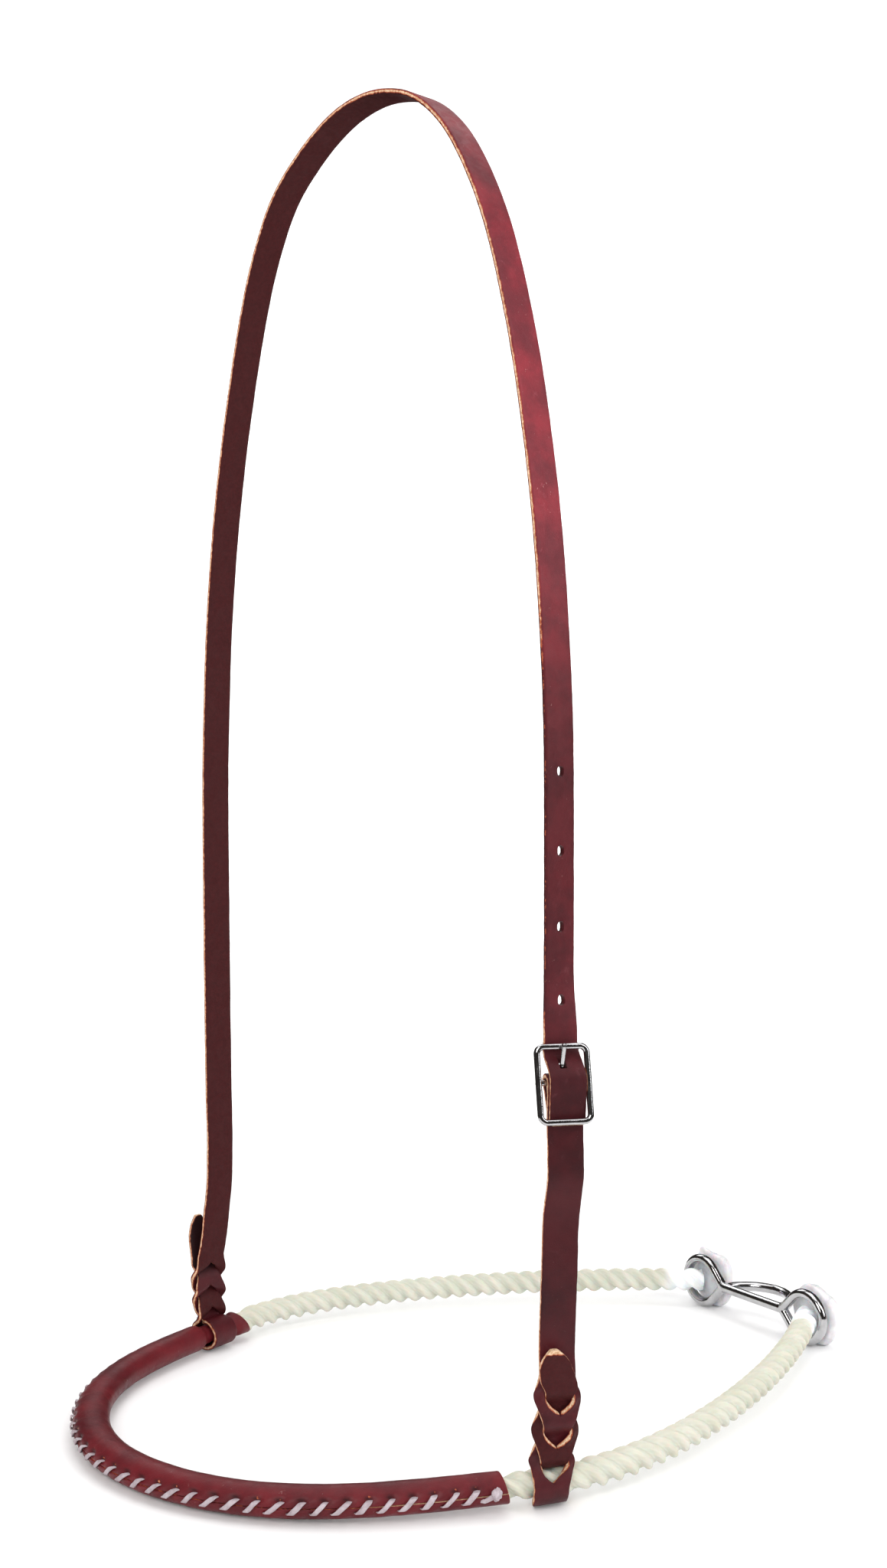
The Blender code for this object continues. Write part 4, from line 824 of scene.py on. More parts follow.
class Surface:
    """A material in the making, on Blender's own shader and the object's coordinates."""

    def __init__(self, name, **numbers):
        self.material = bpy.data.materials.new(name)
        self.material.use_nodes = True
        self.tree = self.material.node_tree
        self.shader = self.tree.nodes["Principled BSDF"]
        for socket, value in numbers.items():
            self.feed(self.shader.inputs[socket.replace("_", " ")], value)
        self.place = self.node("TexCoord")["Object"]

    def feed(self, socket, value):
        """Gives an input another node's output, or a number or colour of its own."""
        if isinstance(value, bpy.types.NodeSocket):
            self.tree.links.new(value, socket)
        else:
            socket.default_value = (*value, 1.0) if socket.type == "RGBA" else value

    def node(self, kind, inputs=None, **settings):
        """The outputs of a new shader node."""
        made = self.tree.nodes.new("ShaderNode" + kind)
        for name, value in settings.items():
            setattr(made, name, value)
        for name, value in (inputs or {}).items():
            self.feed(made.inputs[name], value)
        return made.outputs

    def cloud(self, scale, detail=4.0, roughness=0.55, distortion=0.0):
        values = {"Vector": self.place, "Scale": scale, "Detail": detail}
        values |= {"Roughness": roughness, "Distortion": distortion}
        return self.node("TexNoise", values)["Fac"]

    def remap(self, value, low, high, to_low=0.0, to_high=1.0, kind="SMOOTHSTEP"):
        values = {"From Min": low, "From Max": high, "To Min": to_low, "To Max": to_high}
        return self.node("MapRange", {"Value": value, **values}, interpolation_type=kind)["Result"]

    def blend(self, share, first, second, way="MIX"):
        values = {0: share, 6: first, 7: second}
        return self.node("Mix", values, data_type="RGBA", blend_type=way)[2]

    def layered(self, colour, *layers):
        """A colour with others laid over it, as (share, colour) pairs."""
        for share, over in layers:
            colour = self.blend(share, colour, over)
        return colour

    def maths(self, operation, first, second=0.0):
        return self.node("Math", {0: first, 1: second}, operation=operation)[0]

    def total(self, *terms):
        """The sum of (value, factor) pairs."""
        parts = [v if factor == 1 else self.maths("MULTIPLY", v, factor) for v, factor in terms]
        for part in parts[1:]:
            parts[0] = self.maths("ADD", parts[0], part)
        return parts[0]

    def stored(self, name):
        return self.node("Attribute", attribute_name=name)["Fac"]

    def finish(self, strength, distance, *terms, **sockets):
        """Feeds the shader and its bump, and gives back the material."""
        values = {"Height": self.total(*terms), "Strength": strength, "Distance": distance}
        sockets["Normal"] = self.node("Bump", values)["Normal"]
        for name, value in sockets.items():
            self.feed(self.shader.inputs[name.replace("_", " ")], value)
        return self.material


def leather(name, deep, rich, worn, flesh, roughness, painted_light=()):
    """Oiled burgundy leather: mottled dye, fine grain, rubbed spots, a dull flesh side and raw
    tan edges. Painted light and shade darken or brighten it over its height, and painted shade
    turns marked points near black."""
    made = Surface(name, Specular_IOR_Level=0.2)
    mottle = made.cloud(55.0, 5.0, 0.62)
    streaks = made.cloud(210.0, 4.0, 0.6, 0.8)
    grain = made.cloud(1500.0, 3.0, 0.6)
    scuffs = made.cloud(620.0, 2.0, 0.5, 1.5)
    nap = made.cloud(900.0, 5.0, 0.7)
    fibre = made.cloud(1300.0, 4.0, 0.65)
    pores = made.node("TexVoronoi", {"Vector": made.place, "Scale": 2100.0})["Distance"]
    raw, under = made.stored("raw"), made.stored("flesh")
    colour = made.layered(
        made.blend(made.remap(mottle, 0.32, 0.68), deep, rich),
        (made.remap(streaks, 0.6, 0.78, 0.0, 0.35), worn),
        (made.remap(pores, 0.0, 0.35, 0.25, 0.0), tuple(0.4 * c for c in deep)),
        (made.remap(scuffs, 0.735, 0.765, 0.0, 0.3), SCUFFED_LEATHER),
    )
    # Painted light and shade: the colour is multiplied by a factor that changes with height, as a
    # painted sheen up the legs
    if painted_light:
        level = made.node("SeparateXYZ", {"Vector": made.place})["Z"]
        tone = painted_light[0]
        for low, high, change in painted_light[1:]:
            tone = made.maths("ADD", made.remap(level, low, high, 0.0, change), tone)
        colour = made.blend(1.0, colour, tone, "MULTIPLY")
    ragged = made.remap(made.cloud(700.0, 3.0), 0.3, 0.7, -0.16, 0.16)
    ragged = made.maths("ADD", raw, ragged)
    colour = made.layered(
        colour,
        (under, made.blend(made.remap(nap, 0.35, 0.7), tuple(0.72 * c for c in flesh), flesh)),
        # Painted shade: points marked by the shade value turn near black
        (made.stored("shade"), PAINTED_SHADE_BLACK),
        (made.remap(ragged, 0.34, 0.52), DYED_EDGE),
        (made.remap(ragged, 0.56, 0.82), made.blend(made.remap(fibre, 0.35, 0.65), *TAN_FIBRES)),
    )
    gloss = made.remap(streaks, 0.3, 0.7, roughness, roughness + 0.16)
    gloss = made.total((gloss, 1), (under, 0.16), (raw, 0.3))
    fluff = made.maths("MULTIPLY", fibre, raw)
    heights = ((pores, 0.35), (grain, 0.5), (streaks, 1.6), (fluff, 1.4))
    return made.finish(0.35, 0.00022, *heights, Base_Color=colour, Roughness=gloss)


def lace_surface():
    """Pale rawhide with lilac shade, dull and a little dirty at its edges."""
    made = Surface("scene_lace_hide", Roughness=0.62)
    blotch = made.cloud(330.0, 5.0, 0.65)
    fibre = made.cloud(1600.0, 4.0, 0.7)
    colour = made.layered(
        made.blend(made.remap(blotch, 0.3, 0.7), (0.29, 0.23, 0.25), (0.44, 0.385, 0.415)),
        (made.remap(fibre, 0.52, 0.74, 0.0, 0.45), (0.36, 0.22, 0.25)),
        (made.remap(made.stored("raw"), 0.4, 1.0, 0.0, 0.22), (0.44, 0.27, 0.25)),
    )
    return made.finish(0.4, 0.00015, (fibre, 1), (blotch, 1.5), Base_Color=colour)


def rope_surface():
    """Cream laid rope: fine yarns across each strand, painted shade in the grooves, and white fused
    ends.
    """
    glow = {"Subsurface_Weight": 0.4, "Subsurface_Scale": 0.003}
    made = Surface("scene_rope_fibre", Roughness=0.7, Specular_IOR_Level=0.35, **glow)
    lay = made.node("UVMap", uv_map="lay")["UV"]
    turned = made.node("VectorMath", {0: lay, 1: YARN_TURN}, operation="DOT_PRODUCT")["Value"]
    drift = made.maths("MULTIPLY", made.cloud(260.0, 3.0), 5.0)
    yarns = made.maths("SINE", made.total((turned, math.pi / 2), (drift, 1)))
    soil = made.cloud(70.0, 5.0, 0.6)
    fibre = made.cloud(1800.0, 3.0, 0.7)
    colour = made.layered(
        made.blend(made.remap(soil, 0.3, 0.7), (0.52, 0.53, 0.44), (0.59, 0.595, 0.52)),
        (made.remap(yarns, -1.0, 1.0, 0.12, 0.0, "LINEAR"), (0.43, 0.44, 0.35)),
        # Painted shade darkens the grooves between the strands
        (made.remap(made.stored("groove"), 0.3, 1.0, 0.0, 0.5), (0.4, 0.405, 0.32)),
        (made.remap(made.cloud(420.0, 2.0, 0.5), 0.76, 0.8, 0.0, 0.35), (0.42, 0.38, 0.26)),
        (made.remap(made.stored("fused"), 0.1, 0.9), (0.8, 0.83, 0.84)),
    )
    return made.finish(0.3, 0.00018, (yarns, 0.5), (fibre, 0.7), Base_Color=colour)


def fused_surface():
    """Melted rope fibre: translucent white, smooth and lumpy, with faint yellowed spots."""
    glow = {"Subsurface_Weight": 0.5, "Subsurface_Scale": 0.004}
    made = Surface("scene_fused_fibre", Coat_Weight=0.2, Coat_Roughness=0.15, **glow)
    haze = made.cloud(160.0, 5.0, 0.6)
    spots = made.cloud(520.0, 3.0, 0.6)
    colour = made.layered(
        made.blend(made.remap(haze, 0.3, 0.7), (0.56, 0.57, 0.6), (0.74, 0.75, 0.77)),
        (made.remap(spots, 0.66, 0.76, 0.0, 0.5), (0.66, 0.6, 0.5)),
    )
    gloss = made.remap(haze, 0.3, 0.7, 0.22, 0.42)
    return made.finish(0.5, 0.0006, (haze, 1), (spots, 0.3), Base_Color=colour, Roughness=gloss)


def chrome_surface():
    """Bright plating with a faintly wavy skin, soft haze and small pits."""
    made = Surface("scene_chrome", Metallic=1.0)
    haze = made.cloud(240.0, 5.0, 0.65)
    pits = made.cloud(900.0, 3.0, 0.6)
    colour = made.layered(
        made.blend(made.remap(haze, 0.3, 0.7), (0.45, 0.445, 0.45), (0.56, 0.56, 0.57)),
        (made.remap(pits, 0.7, 0.78, 0.0, 0.6), (0.3, 0.27, 0.25)),
    )
    gloss = made.remap(haze, 0.3, 0.75, 0.09, 0.2)
    return made.finish(0.22, 0.0004, (haze, 1), (pits, 0.25), Base_Color=colour, Roughness=gloss)


# -------------------------------------------------- rope, cover and lace


def build_rope(surface):
    """The rope: three strands laid round each other, as one skin whose columns follow the lay."""
    distances = np.linspace(0, ROPE_LENGTH, round(ROPE_LENGTH / ROPE_STEP) + 1)
    columns = STRAND_COLUMNS * 3
    lobes = np.arange(columns) / columns * 2 * math.pi
    across = 2 * ((lobes * 3 / (2 * math.pi) + 0.5) % 1) - 1
    points, groove, fused = [], [], []
    for distance in distances:
        _, _, outward = rope_frame(min(max(distance, TANGENT_REACH), ROPE_LENGTH - TANGENT_REACH))
        centre = rope_point(distance)
        half_width, half_height = rope_half_sizes(distance)
        bare = 1 - fade(distance, COVER_MIDDLE, COVER_HALF - 0.01, 0.006)
        held = fade(distance, NEAR_GRIP_AT, 0.01, 0.004)
        depth = STRAND_GROOVE * bare * (1 - 0.45 * held)
        swell = 1 + (STRAND_SWELL - 1) * bare * (1 - held)
        to_end = min(distance, ROPE_LENGTH - distance)
        fused += [1 - smooth_step((to_end - 0.01) / 0.012)] * columns
        for lobe, share in zip(lobes, across):
            angle = lobe + 2 * math.pi * distance / ROPE_LAY
            wave = 1 + 0.012 * rumple((distance, lobe * 0.004, 0.0), 260.0)
            turn = share * math.pi / 3
            strand = STRAND_SPREAD * math.cos(turn)
            strand += math.sqrt(max(0.0, 1 - STRAND_SPREAD_SQUARED * math.sin(turn) ** 2))
            strand = max(strand / (1 + STRAND_SPREAD), 1 - STRAND_GROOVE)
            size = swell * wave * (1 + depth / STRAND_GROOVE * (strand - 1))
            flat = centre + outward * half_width * size * math.cos(angle)
            points.append((*flat, half_height * size * math.sin(angle)))
            # Painted shade: how far into a groove between strands each point lies
            groove.append(abs(share) ** 3 * bare)
    made = plain_object("rope_laid", points, tube_faces(len(distances), columns))
    set_values(made.data, groove=groove, fused=fused)
    lay = made.data.uv_layers.new(name="lay")
    for polygon in made.data.polygons:
        if len(polygon.vertices) > 4:
            continue
        corners = [vertex % columns for vertex in polygon.vertices]
        wraps = max(corners) - min(corners) > 1
        for corner in polygon.loop_indices:
            row, column = divmod(made.data.loops[corner].vertex_index, columns)
            column += columns if wraps and column == 0 else 0
            lay.data[corner].uv = (column / STRAND_COLUMNS, distances[row] / ROPE_LAY)
    finish_piece(made, surface, "noseband", "rope")


def stitch_holes(side):
    """Where stitches enter the leather over or under the seam, as (distance, arc from it) rows."""
    arcs = np.full(len(LACE_PLACES), side * STITCH_REACH * 1.12)
    return np.column_stack([LACE_PLACES + side * LACE_LEAN * 1.1, arcs])


def cover_lift(distance, arc, holes):
    """How far the cover's skin stands off its plain section: in at the holes, out between."""
    lift = 0.0
    for places, depth in zip(holes, STITCH_DIMPLES):
        beside, over = ((distance, arc) - places).T
        spread = bell(beside / DIMPLE_SPREAD[0], over / DIMPLE_SPREAD[1])
        lift -= depth * float(spread.sum())
    laced = smooth_step((distance - LACE_START + 0.006) / 0.006)
    laced *= smooth_step((LACE_END + 0.006 - distance) / 0.006)
    after = distance - LACE_START - 0.45 * LACE_PITCH - LACE_LEAN * arc / LACE_HALF_REACH
    beat = math.cos(2 * math.pi * after / LACE_PITCH)
    return lift + laced * COVER_PUCKER * beat * bell((abs(arc) - 0.003) / 0.0022)


def build_cover(surface):
    """The leather sleeve, with its raw edges meeting at the seam and its ends cut at a slant."""
    rows = np.linspace(0.0015, 0.9985, COVER_ROWS - 4)
    around = np.linspace(0.02, 0.98, COVER_COLUMNS - 6)
    around = np.concatenate([[0, 0.003, 0.01], around, [0.99, 0.997, 1]])
    half_slot = COVER_SLOT_SHOWN / 2 / COVER_HALF_WIDTH_AT_ENDS
    angles = COVER_SEAM_ANGLE + half_slot + around * (2 * math.pi - 2 * half_slot)
    holes = stitch_holes(1), stitch_holes(-1)
    torn_at, torn_over = (holes[0] + (0.0002, 0.00115)).T
    torn = 0.5 + 0.5 * np.array([math.sin(7.7 * k) for k in range(len(torn_at))])
    points, raw, flesh, shade = [], [], [], []
    for along in (0, 0.0005, *rows, 0.9995, 1):
        outer, inner, bare, dark = [], [], [], []
        for angle in angles:
            high = (1 + math.sin(angle)) / 2
            start = COVER_START + COVER_NEAR_SLANT * high
            end = COVER_END + COVER_FAR_REACH - COVER_FAR_SLANT * high
            distance = start + (end - start) * along
            from_seam = (angle - COVER_SEAM_ANGLE + math.pi) % (2 * math.pi) - math.pi
            arc = from_seam * cover_half_sizes(distance)[0]
            lift = cover_lift(distance, arc, holes) if abs(arc) < 0.007 else 0.0
            place = cover_point(distance, angle)
            lift += 0.00008 * rumple(place, 160.0) + 0.00003 * rumple(place, 600.0, 3.0)
            lift -= COVER_PRESSED * fade(distance, FAR_LOOP_AT, *COVER_PRESS_REACH)
            to_edge = min(distance - start, end - distance, 0.003)
            to_seam = abs(arc) - COVER_SLOT_SHOWN / 2
            round_off = COVER_ROUND * (1 - min(1.0, to_edge / 0.0005)) ** 2
            round_off += COVER_ROUND * (1 - min(1.0, to_seam / 0.0006)) ** 2
            outer.append(cover_point(distance, angle, round_off - lift))
            inner.append(cover_point(distance, angle, COVER_WALL))
            pale = hole_shade = 0.0
            if 0 < arc < 0.006:
                beside, over = distance - torn_at, arc - torn_over
                pale = 0.9 * (bell(beside / 0.0006, over / 0.0005) * torn).max()
                # Painted shade in the dip beside each upper stitch hole
                hole_shade = 0.8 * bell((beside - 0.0004) / 0.0013, (over + 0.0004) / 0.0008).max()
            bare.append(pale)
            dark.append(hole_shade)
        points += outer + inner[::-1]
        seam_raw = 0.44 + 0.56 * smooth_step((COVER_START + SEAM_PALE_REACH - distance) / 0.03)
        edge = [1.0 if along in (0, 1) else 0.0] * COVER_COLUMNS
        edge[0] = edge[-1] = 1.0 if along in (0, 1) else seam_raw
        none = [0.0] * COVER_COLUMNS
        raw += [max(pair) for pair in zip(edge, bare)] + edge
        flesh += none + [1.0] * COVER_COLUMNS
        shade += dark + none
    size = 2 * COVER_COLUMNS
    faces = grid_faces(COVER_ROWS, size)
    for base in (0, (COVER_ROWS - 1) * size):
        for j in range(COVER_COLUMNS - 1):
            faces.append((base + j, base + j + 1, base + size - 2 - j, base + size - 1 - j))
    made = plain_object("nose_cover_leather", points, faces)
    set_values(made.data, raw=raw, flesh=flesh, shade=shade)
    finish_piece(made, surface, "noseband", "nose_cover")


def add_lace(points, faces, raw, steps, thickness, crosswise=False):
    """Adds a run of lace through (distance, angle, lift, width) steps over the cover. Its width
    lies along the rope, or across its own run when that follows the rope."""
    rings = []
    for distance, angle, lift, width in steps:
        centre, out = lace_section(distance, angle, lift)
        across = np.array([*rope_frame(distance)[1], 0.0])
        if crosswise:
            across = unit(np.cross(out, across))
        ring = [across * u * width / 2 + out * v * thickness / 2 for u, v in LACE_SHAPE]
        rings.append([centre + offset for offset in ring])
    add_tube(points, faces, rings)
    raw += [float(j in LACE_RAW_SIDES) for _ in rings for j in range(len(LACE_SHAPE))]


def build_lace(surface):
    """The lace: slanted stitches that dive into the leather, and the knot at the near end."""
    points, faces, raw = [], [], []
    for number, place in enumerate(LACE_PLACES):
        lean = LACE_LEAN * (1 + 0.16 * math.sin(number * 2.3))
        width = STITCH_WIDTH * (1 + 0.1 * math.sin(number * 4.1 + 1.0))
        half_width, _ = cover_half_sizes(place)
        steps = []
        for share in np.linspace(-1.28, 1.28, 13):
            dive = smooth_step((abs(share) - 0.8) / 0.48)
            angle = COVER_SEAM_ANGLE + share * STITCH_REACH / half_width
            narrowed = width * (1 - 0.16 * dive + 0.05 * math.sin(5 * share + number))
            lift = LACE_LIFT + 0.00022 - 0.0016 * dive
            steps.append((place + share * lean, angle, lift, narrowed))
        add_lace(points, faces, raw, steps, STITCH_THICKNESS)
    start = LACE_START - LACE_KNOT_SETBACK
    steps = []
    for share in np.linspace(0, 1, 9):
        angle = COVER_SEAM_ANGLE + LACE_KNOT_RISE * (0.5 - 1.9 * share)
        lift = LACE_LIFT + 0.0003 - 0.0012 * smooth_step((share - 0.7) / 0.3)
        steps.append((start + 0.0052 * share, angle, lift, 0.0022 - 0.0013 * share))
    add_lace(points, faces, raw, steps, LACE_THICKNESS, True)
    centre, _ = lace_section(start, COVER_SEAM_ANGLE + LACE_KNOT_RISE * 0.5, 0.0009)
    shape = bmesh.new()
    bmesh.ops.create_icosphere(shape, subdivisions=4, radius=1.0)
    shape.verts.index_update()
    base = len(points)
    for vertex in shape.verts:
        ball = np.array(vertex.co)
        size = 1 + 0.3 * rumple(ball, 1.6, 5.0) + 0.16 * rumple(ball, 4.0, 2.0)
        points.append(centre + ball * LACE_KNOT_SIZE * size)
        raw.append(0.0)
    faces += [tuple(base + vertex.index for vertex in face.verts) for face in shape.faces]
    shape.free()
    made = plain_object("cover_lacing", points, faces)
    set_values(made.data, raw=raw)
    finish_piece(made, surface, "noseband", "cover_lace")


# ------------------------------------------------- fused stops and metal


def build_stop(name, side, bulges, surface, node_name):
    """A rope end melted into a lumpy mushroom."""
    around, deep = 72, 30
    profile = spline(STOP_OUTLINE, np.linspace(0, len(STOP_OUTLINE) - 1, deep + 1))
    points = []
    for row, (depth, radius) in enumerate(profile[1:-1], 1):
        for j in range(around):
            angle = 2 * math.pi * j / around
            c, s = math.cos(angle), math.sin(angle)
            size = 1 + 0.045 * math.sin(3 * angle + 0.8 * side) + 0.03 * math.cos(5 * angle + side)
            size += 0.05 * rumple((c, s, row * 0.12), 1.7, 4.0 + side)
            for where, level, reach, spread in bulges:
                gap = (math.degrees(angle) - where + 180) % 360 - 180
                size += reach / 0.012 * bell(gap / spread, (row / deep - level) / 0.22)
            size = 1 + (size - 1) * smooth_step((radius - 0.004) / 0.005)
            points.append((EYE_X + depth, side * EYE_Y + radius * size * c, radius * size * s))
    faces = grid_faces(deep - 1, around)
    points += [(EYE_X + profile[end][0], side * EYE_Y, 0.0) for end in (0, -1)]
    last = (deep - 2) * around
    for j in range(around):
        k = (j + 1) % around
        faces += [(len(points) - 2, k, j), (len(points) - 1, last + j, last + k)]
    made = plain_object(name, points, faces)
    for vertex in made.data.vertices:
        vertex.co.z = max(vertex.co.z, STOP_FLOOR)
    finish_piece(made, surface, "noseband", node_name, None)


def closed_spline(points, count):
    """A smooth closed path of evenly spaced points."""
    wrapped = np.vstack([points[-2:], points, points[:3]])
    steps = SPLINE_STEPS * len(points) + 1
    fine = spline(wrapped, np.linspace(2, len(points) + 2, steps))
    length = run_lengths(fine)
    return read_off(np.linspace(0, length[-1], count, endpoint=False), length, fine)


def cast_together(name, tubes, voxel, passes):
    """One skin round several tubes, with the joins between them filled as by plating or casting."""
    made = tube_object(name, *tubes)
    remesh = made.modifiers.new("remesh", "REMESH")
    remesh.mode = "VOXEL"
    remesh.voxel_size = voxel
    relax = made.modifiers.new("relax", "SMOOTH")
    relax.factor = 0.5
    relax.iterations = passes
    apply_modifiers(made)
    return made


def eye_path():
    """The centre line of the far eye: a circle drawn out to a point towards the middle bars."""
    turn = math.acos(EYE_MID_RADIUS / EYE_TAPER_REACH)
    path = []
    for angle in np.linspace(turn, 2 * math.pi - turn, 19):
        y, z = EYE_MID_RADIUS * math.cos(angle), EYE_MID_RADIUS * math.sin(angle)
        path.append(np.array((EYE_X, EYE_Y - y, z)))
    start, end = path[0], path[-1]
    point = np.array((EYE_X, EYE_Y - EYE_TAPER_REACH + 0.0007, 0.0))
    path += [end + share * (point - end) for share in (0.4, 0.75)] + [point]
    return np.array(path + [start + share * (point - start) for share in (0.75, 0.4)])


def build_connector(surface):
    """The connector: two eyes, the straight bar between their points and the bowed bar."""
    far = closed_spline(eye_path(), 90)
    tubes = []
    for path in (far, far * (1, -1, 1)):
        tubes.append((tube_rings(path, (1, 0, 0), EYE_SECTION[::-1], 20, 1.12, True), True))
    end = EYE_Y - EYE_TAPER_REACH - 0.0003
    straight = [(EYE_X - 0.0002, y, 0.0) for y in np.linspace(-end, end, 24)]
    tubes.append((tube_rings(straight, (1, 0, 0), BAR_SECTION, 20, 1.05), False))
    half = [(EYE_X + x, end - setback, 0.0) for x, setback in BOW_OUTLINE]
    half.append((EYE_X + BOW_REACH, 0.002, 0.0))
    bow = resampled(half + [(x, -y, z) for x, y, z in half[::-1]], 0.0011)
    tubes.append((tube_rings(bow, (0, 0, 1), BAR_SECTION, 20, 1.05), False))
    made = cast_together("jaw_connector", tubes, CONNECTOR_SKIN, 5)
    finish_piece(made, surface, "connector", "connector", None)


def build_buckle(surface):
    """The buckle: wire bent to a rounded rectangle, with its centre bar let into its sides."""
    wide, tall = BUCKLE_HALF_WIDTH - BUCKLE_CORNER, BUCKLE_HALF_HEIGHT - BUCKLE_CORNER
    outline = []
    for corner, (across, up) in enumerate(((1, 1), (-1, 1), (-1, -1), (1, -1))):
        for step in range(9):
            angle = math.pi / 2 * (corner + step / 8)
            x = across * wide + BUCKLE_CORNER * math.cos(angle)
            outline.append((x, up * tall + BUCKLE_CORNER * math.sin(angle)))
        for share in (0.25, 0.5, 0.75):
            reach = up * (tall if corner % 2 else wide) * (1 - 2 * share)
            if corner % 2:
                outline.append((across * BUCKLE_HALF_WIDTH, reach))
            else:
                outline.append((reach, up * BUCKLE_HALF_HEIGHT))
    path = [buckle_point(x, -BUCKLE_LEAN * z / BUCKLE_HALF_HEIGHT, z) for x, z in outline]
    wire = (BUCKLE_WIRE * WIRE_SHOWN,) * 2
    rings = tube_rings(closed_spline(path, 140), (*NEAR_FRAME[2], 0.0), wire, 18, looped=True)
    half = []
    for inward, setback in ((0.0002, 0.0001), (0.0006, BUCKLE_BAR_SETBACK * 0.65)):
        half.append((-BUCKLE_HALF_WIDTH + inward, -setback))
    half += [(-BUCKLE_HALF_WIDTH + inward, -BUCKLE_BAR_SETBACK) for inward in (0.0014, 0.0028)]
    route = half + [(-x, depth) for x, depth in half[::-1]]
    bar = resampled([buckle_point(x, depth, 0.0) for x, depth in route], 0.0005)
    bar_rings = tube_rings(bar, (0, 0, 1), (wire[0] * BAR_SHOWN,) * 2, 18)
    made = cast_together("buckle_wire", [(rings, True), (bar_rings, False)], BUCKLE_SKIN, 3)
    finish_piece(made, surface, "buckle", "buckle_frame", None)


def build_tongue(surface):
    """The wire tongue, curled round the bar and with rounded ends."""
    curl = BUCKLE_WIRE + TONGUE_PLAY + TONGUE_WIRE
    path = []
    for angle in np.linspace(math.radians(-66), math.radians(-300), 14):
        turned = angle + math.pi / 2 - TONGUE_ANGLE
        path.append((curl * math.cos(turned), curl * math.sin(turned)))
    along = np.array([math.sin(TONGUE_ANGLE), math.cos(TONGUE_ANGLE)])
    path += [along * r for r in (0.0045, 0.007, 0.01, TONGUE_LENGTH - 0.001, TONGUE_LENGTH)]
    path = [buckle_point(0.0, d - BUCKLE_BAR_SETBACK, h) for d, h in resampled(path, 0.00028)]
    rings = tube_rings(path, (*NEAR_FRAME[1], 0.0), (TONGUE_WIRE, TONGUE_WIRE), 16)
    rings = np.array(rings)
    for number in range(4):
        size = math.sqrt(1 - ((3.4 - number) / 4) ** 2)
        for row in (number, -1 - number):
            centre = rings[row].mean(axis=0)
            rings[row] = centre + (rings[row] - centre) * size
    made = tube_object("buckle_tongue_wire", (rings, False))
    finish_piece(made, surface, "tongue", "buckle_tongue", 60)


# ---------------------------------------------------------------- straps


def row_spacing(centre):
    """Rows are close together in the knots and at the buckle, and wider apart on the arch."""
    if centre[2] < 0.055:
        return STRAP_STEP_IN_KNOT
    return STRAP_STEP_AT_BUCKLE if centre[2] < 0.25 and centre[1] < 0 else STRAP_STEP_ON_ARCH


def refined(rows):
    """Strap rows drawn smoothly through the given ones, about their wanted spacing apart."""
    centres = rows.mean(axis=1)
    parameters = [0.0]
    for i, length in enumerate(np.linalg.norm(np.diff(centres, axis=0), axis=1)):
        steps = max(1, math.ceil(length / row_spacing(centres[i])))
        parameters += [i + (k + 1) / steps for k in range(steps)]
    return spline(rows.reshape(len(rows), -1), parameters).reshape(-1, 6, 3)


def lagrange(outer, middle, inner, share):
    """The curve through three points at 0, 1/2 and 1."""
    share = share[..., None]
    curve = outer * ((2 * share - 1) * (share - 1)) + middle * (4 * share * (1 - share))
    return curve + inner * (share * (2 * share - 1))


def strap_skins(rows, whole):
    """Points and normals across each half of a strap's rows, from its outer to its inner edge."""
    rim = np.array(EDGE_COLUMNS)
    skins, normals = [], []
    for half, sense in ((rows[:, :3], 1), (rows[:, :2:-1], -1)):
        outer, centre, inner = half[:, :1], half[:, 1:2], half[:, 2:]
        width = np.linalg.norm(inner - outer, axis=2)
        inside = np.linspace(rim[-1], width[:, 0] - rim[-1], STRAP_COLUMNS + 2)[1:-1].T
        ends = np.repeat(rim[None, :], len(rows), axis=0)
        share = np.hstack([ends, inside, width - ends[:, ::-1]]) / width
        skin = lagrange(outer, centre, inner, share)
        normal = np.cross(np.gradient(skin, axis=1) * sense, np.gradient(skin, axis=0))
        normal[1:-1] = (normal[:-2] + 2 * normal[1:-1] + normal[2:]) / 4
        skins.append(skin)
        normals.append(units(normal))
    shared = units(normals[0][:, -1] + normals[1][:, -1])
    for normal in normals:
        for column, weight in zip((-4, -3, -2, -1), np.linspace(0, 1, 4) ** 2):
            mixed = normal[:, column] + weight * (shared - normal[:, column])
            normal[whole, column] = units(mixed)[whole]
    return skins, normals


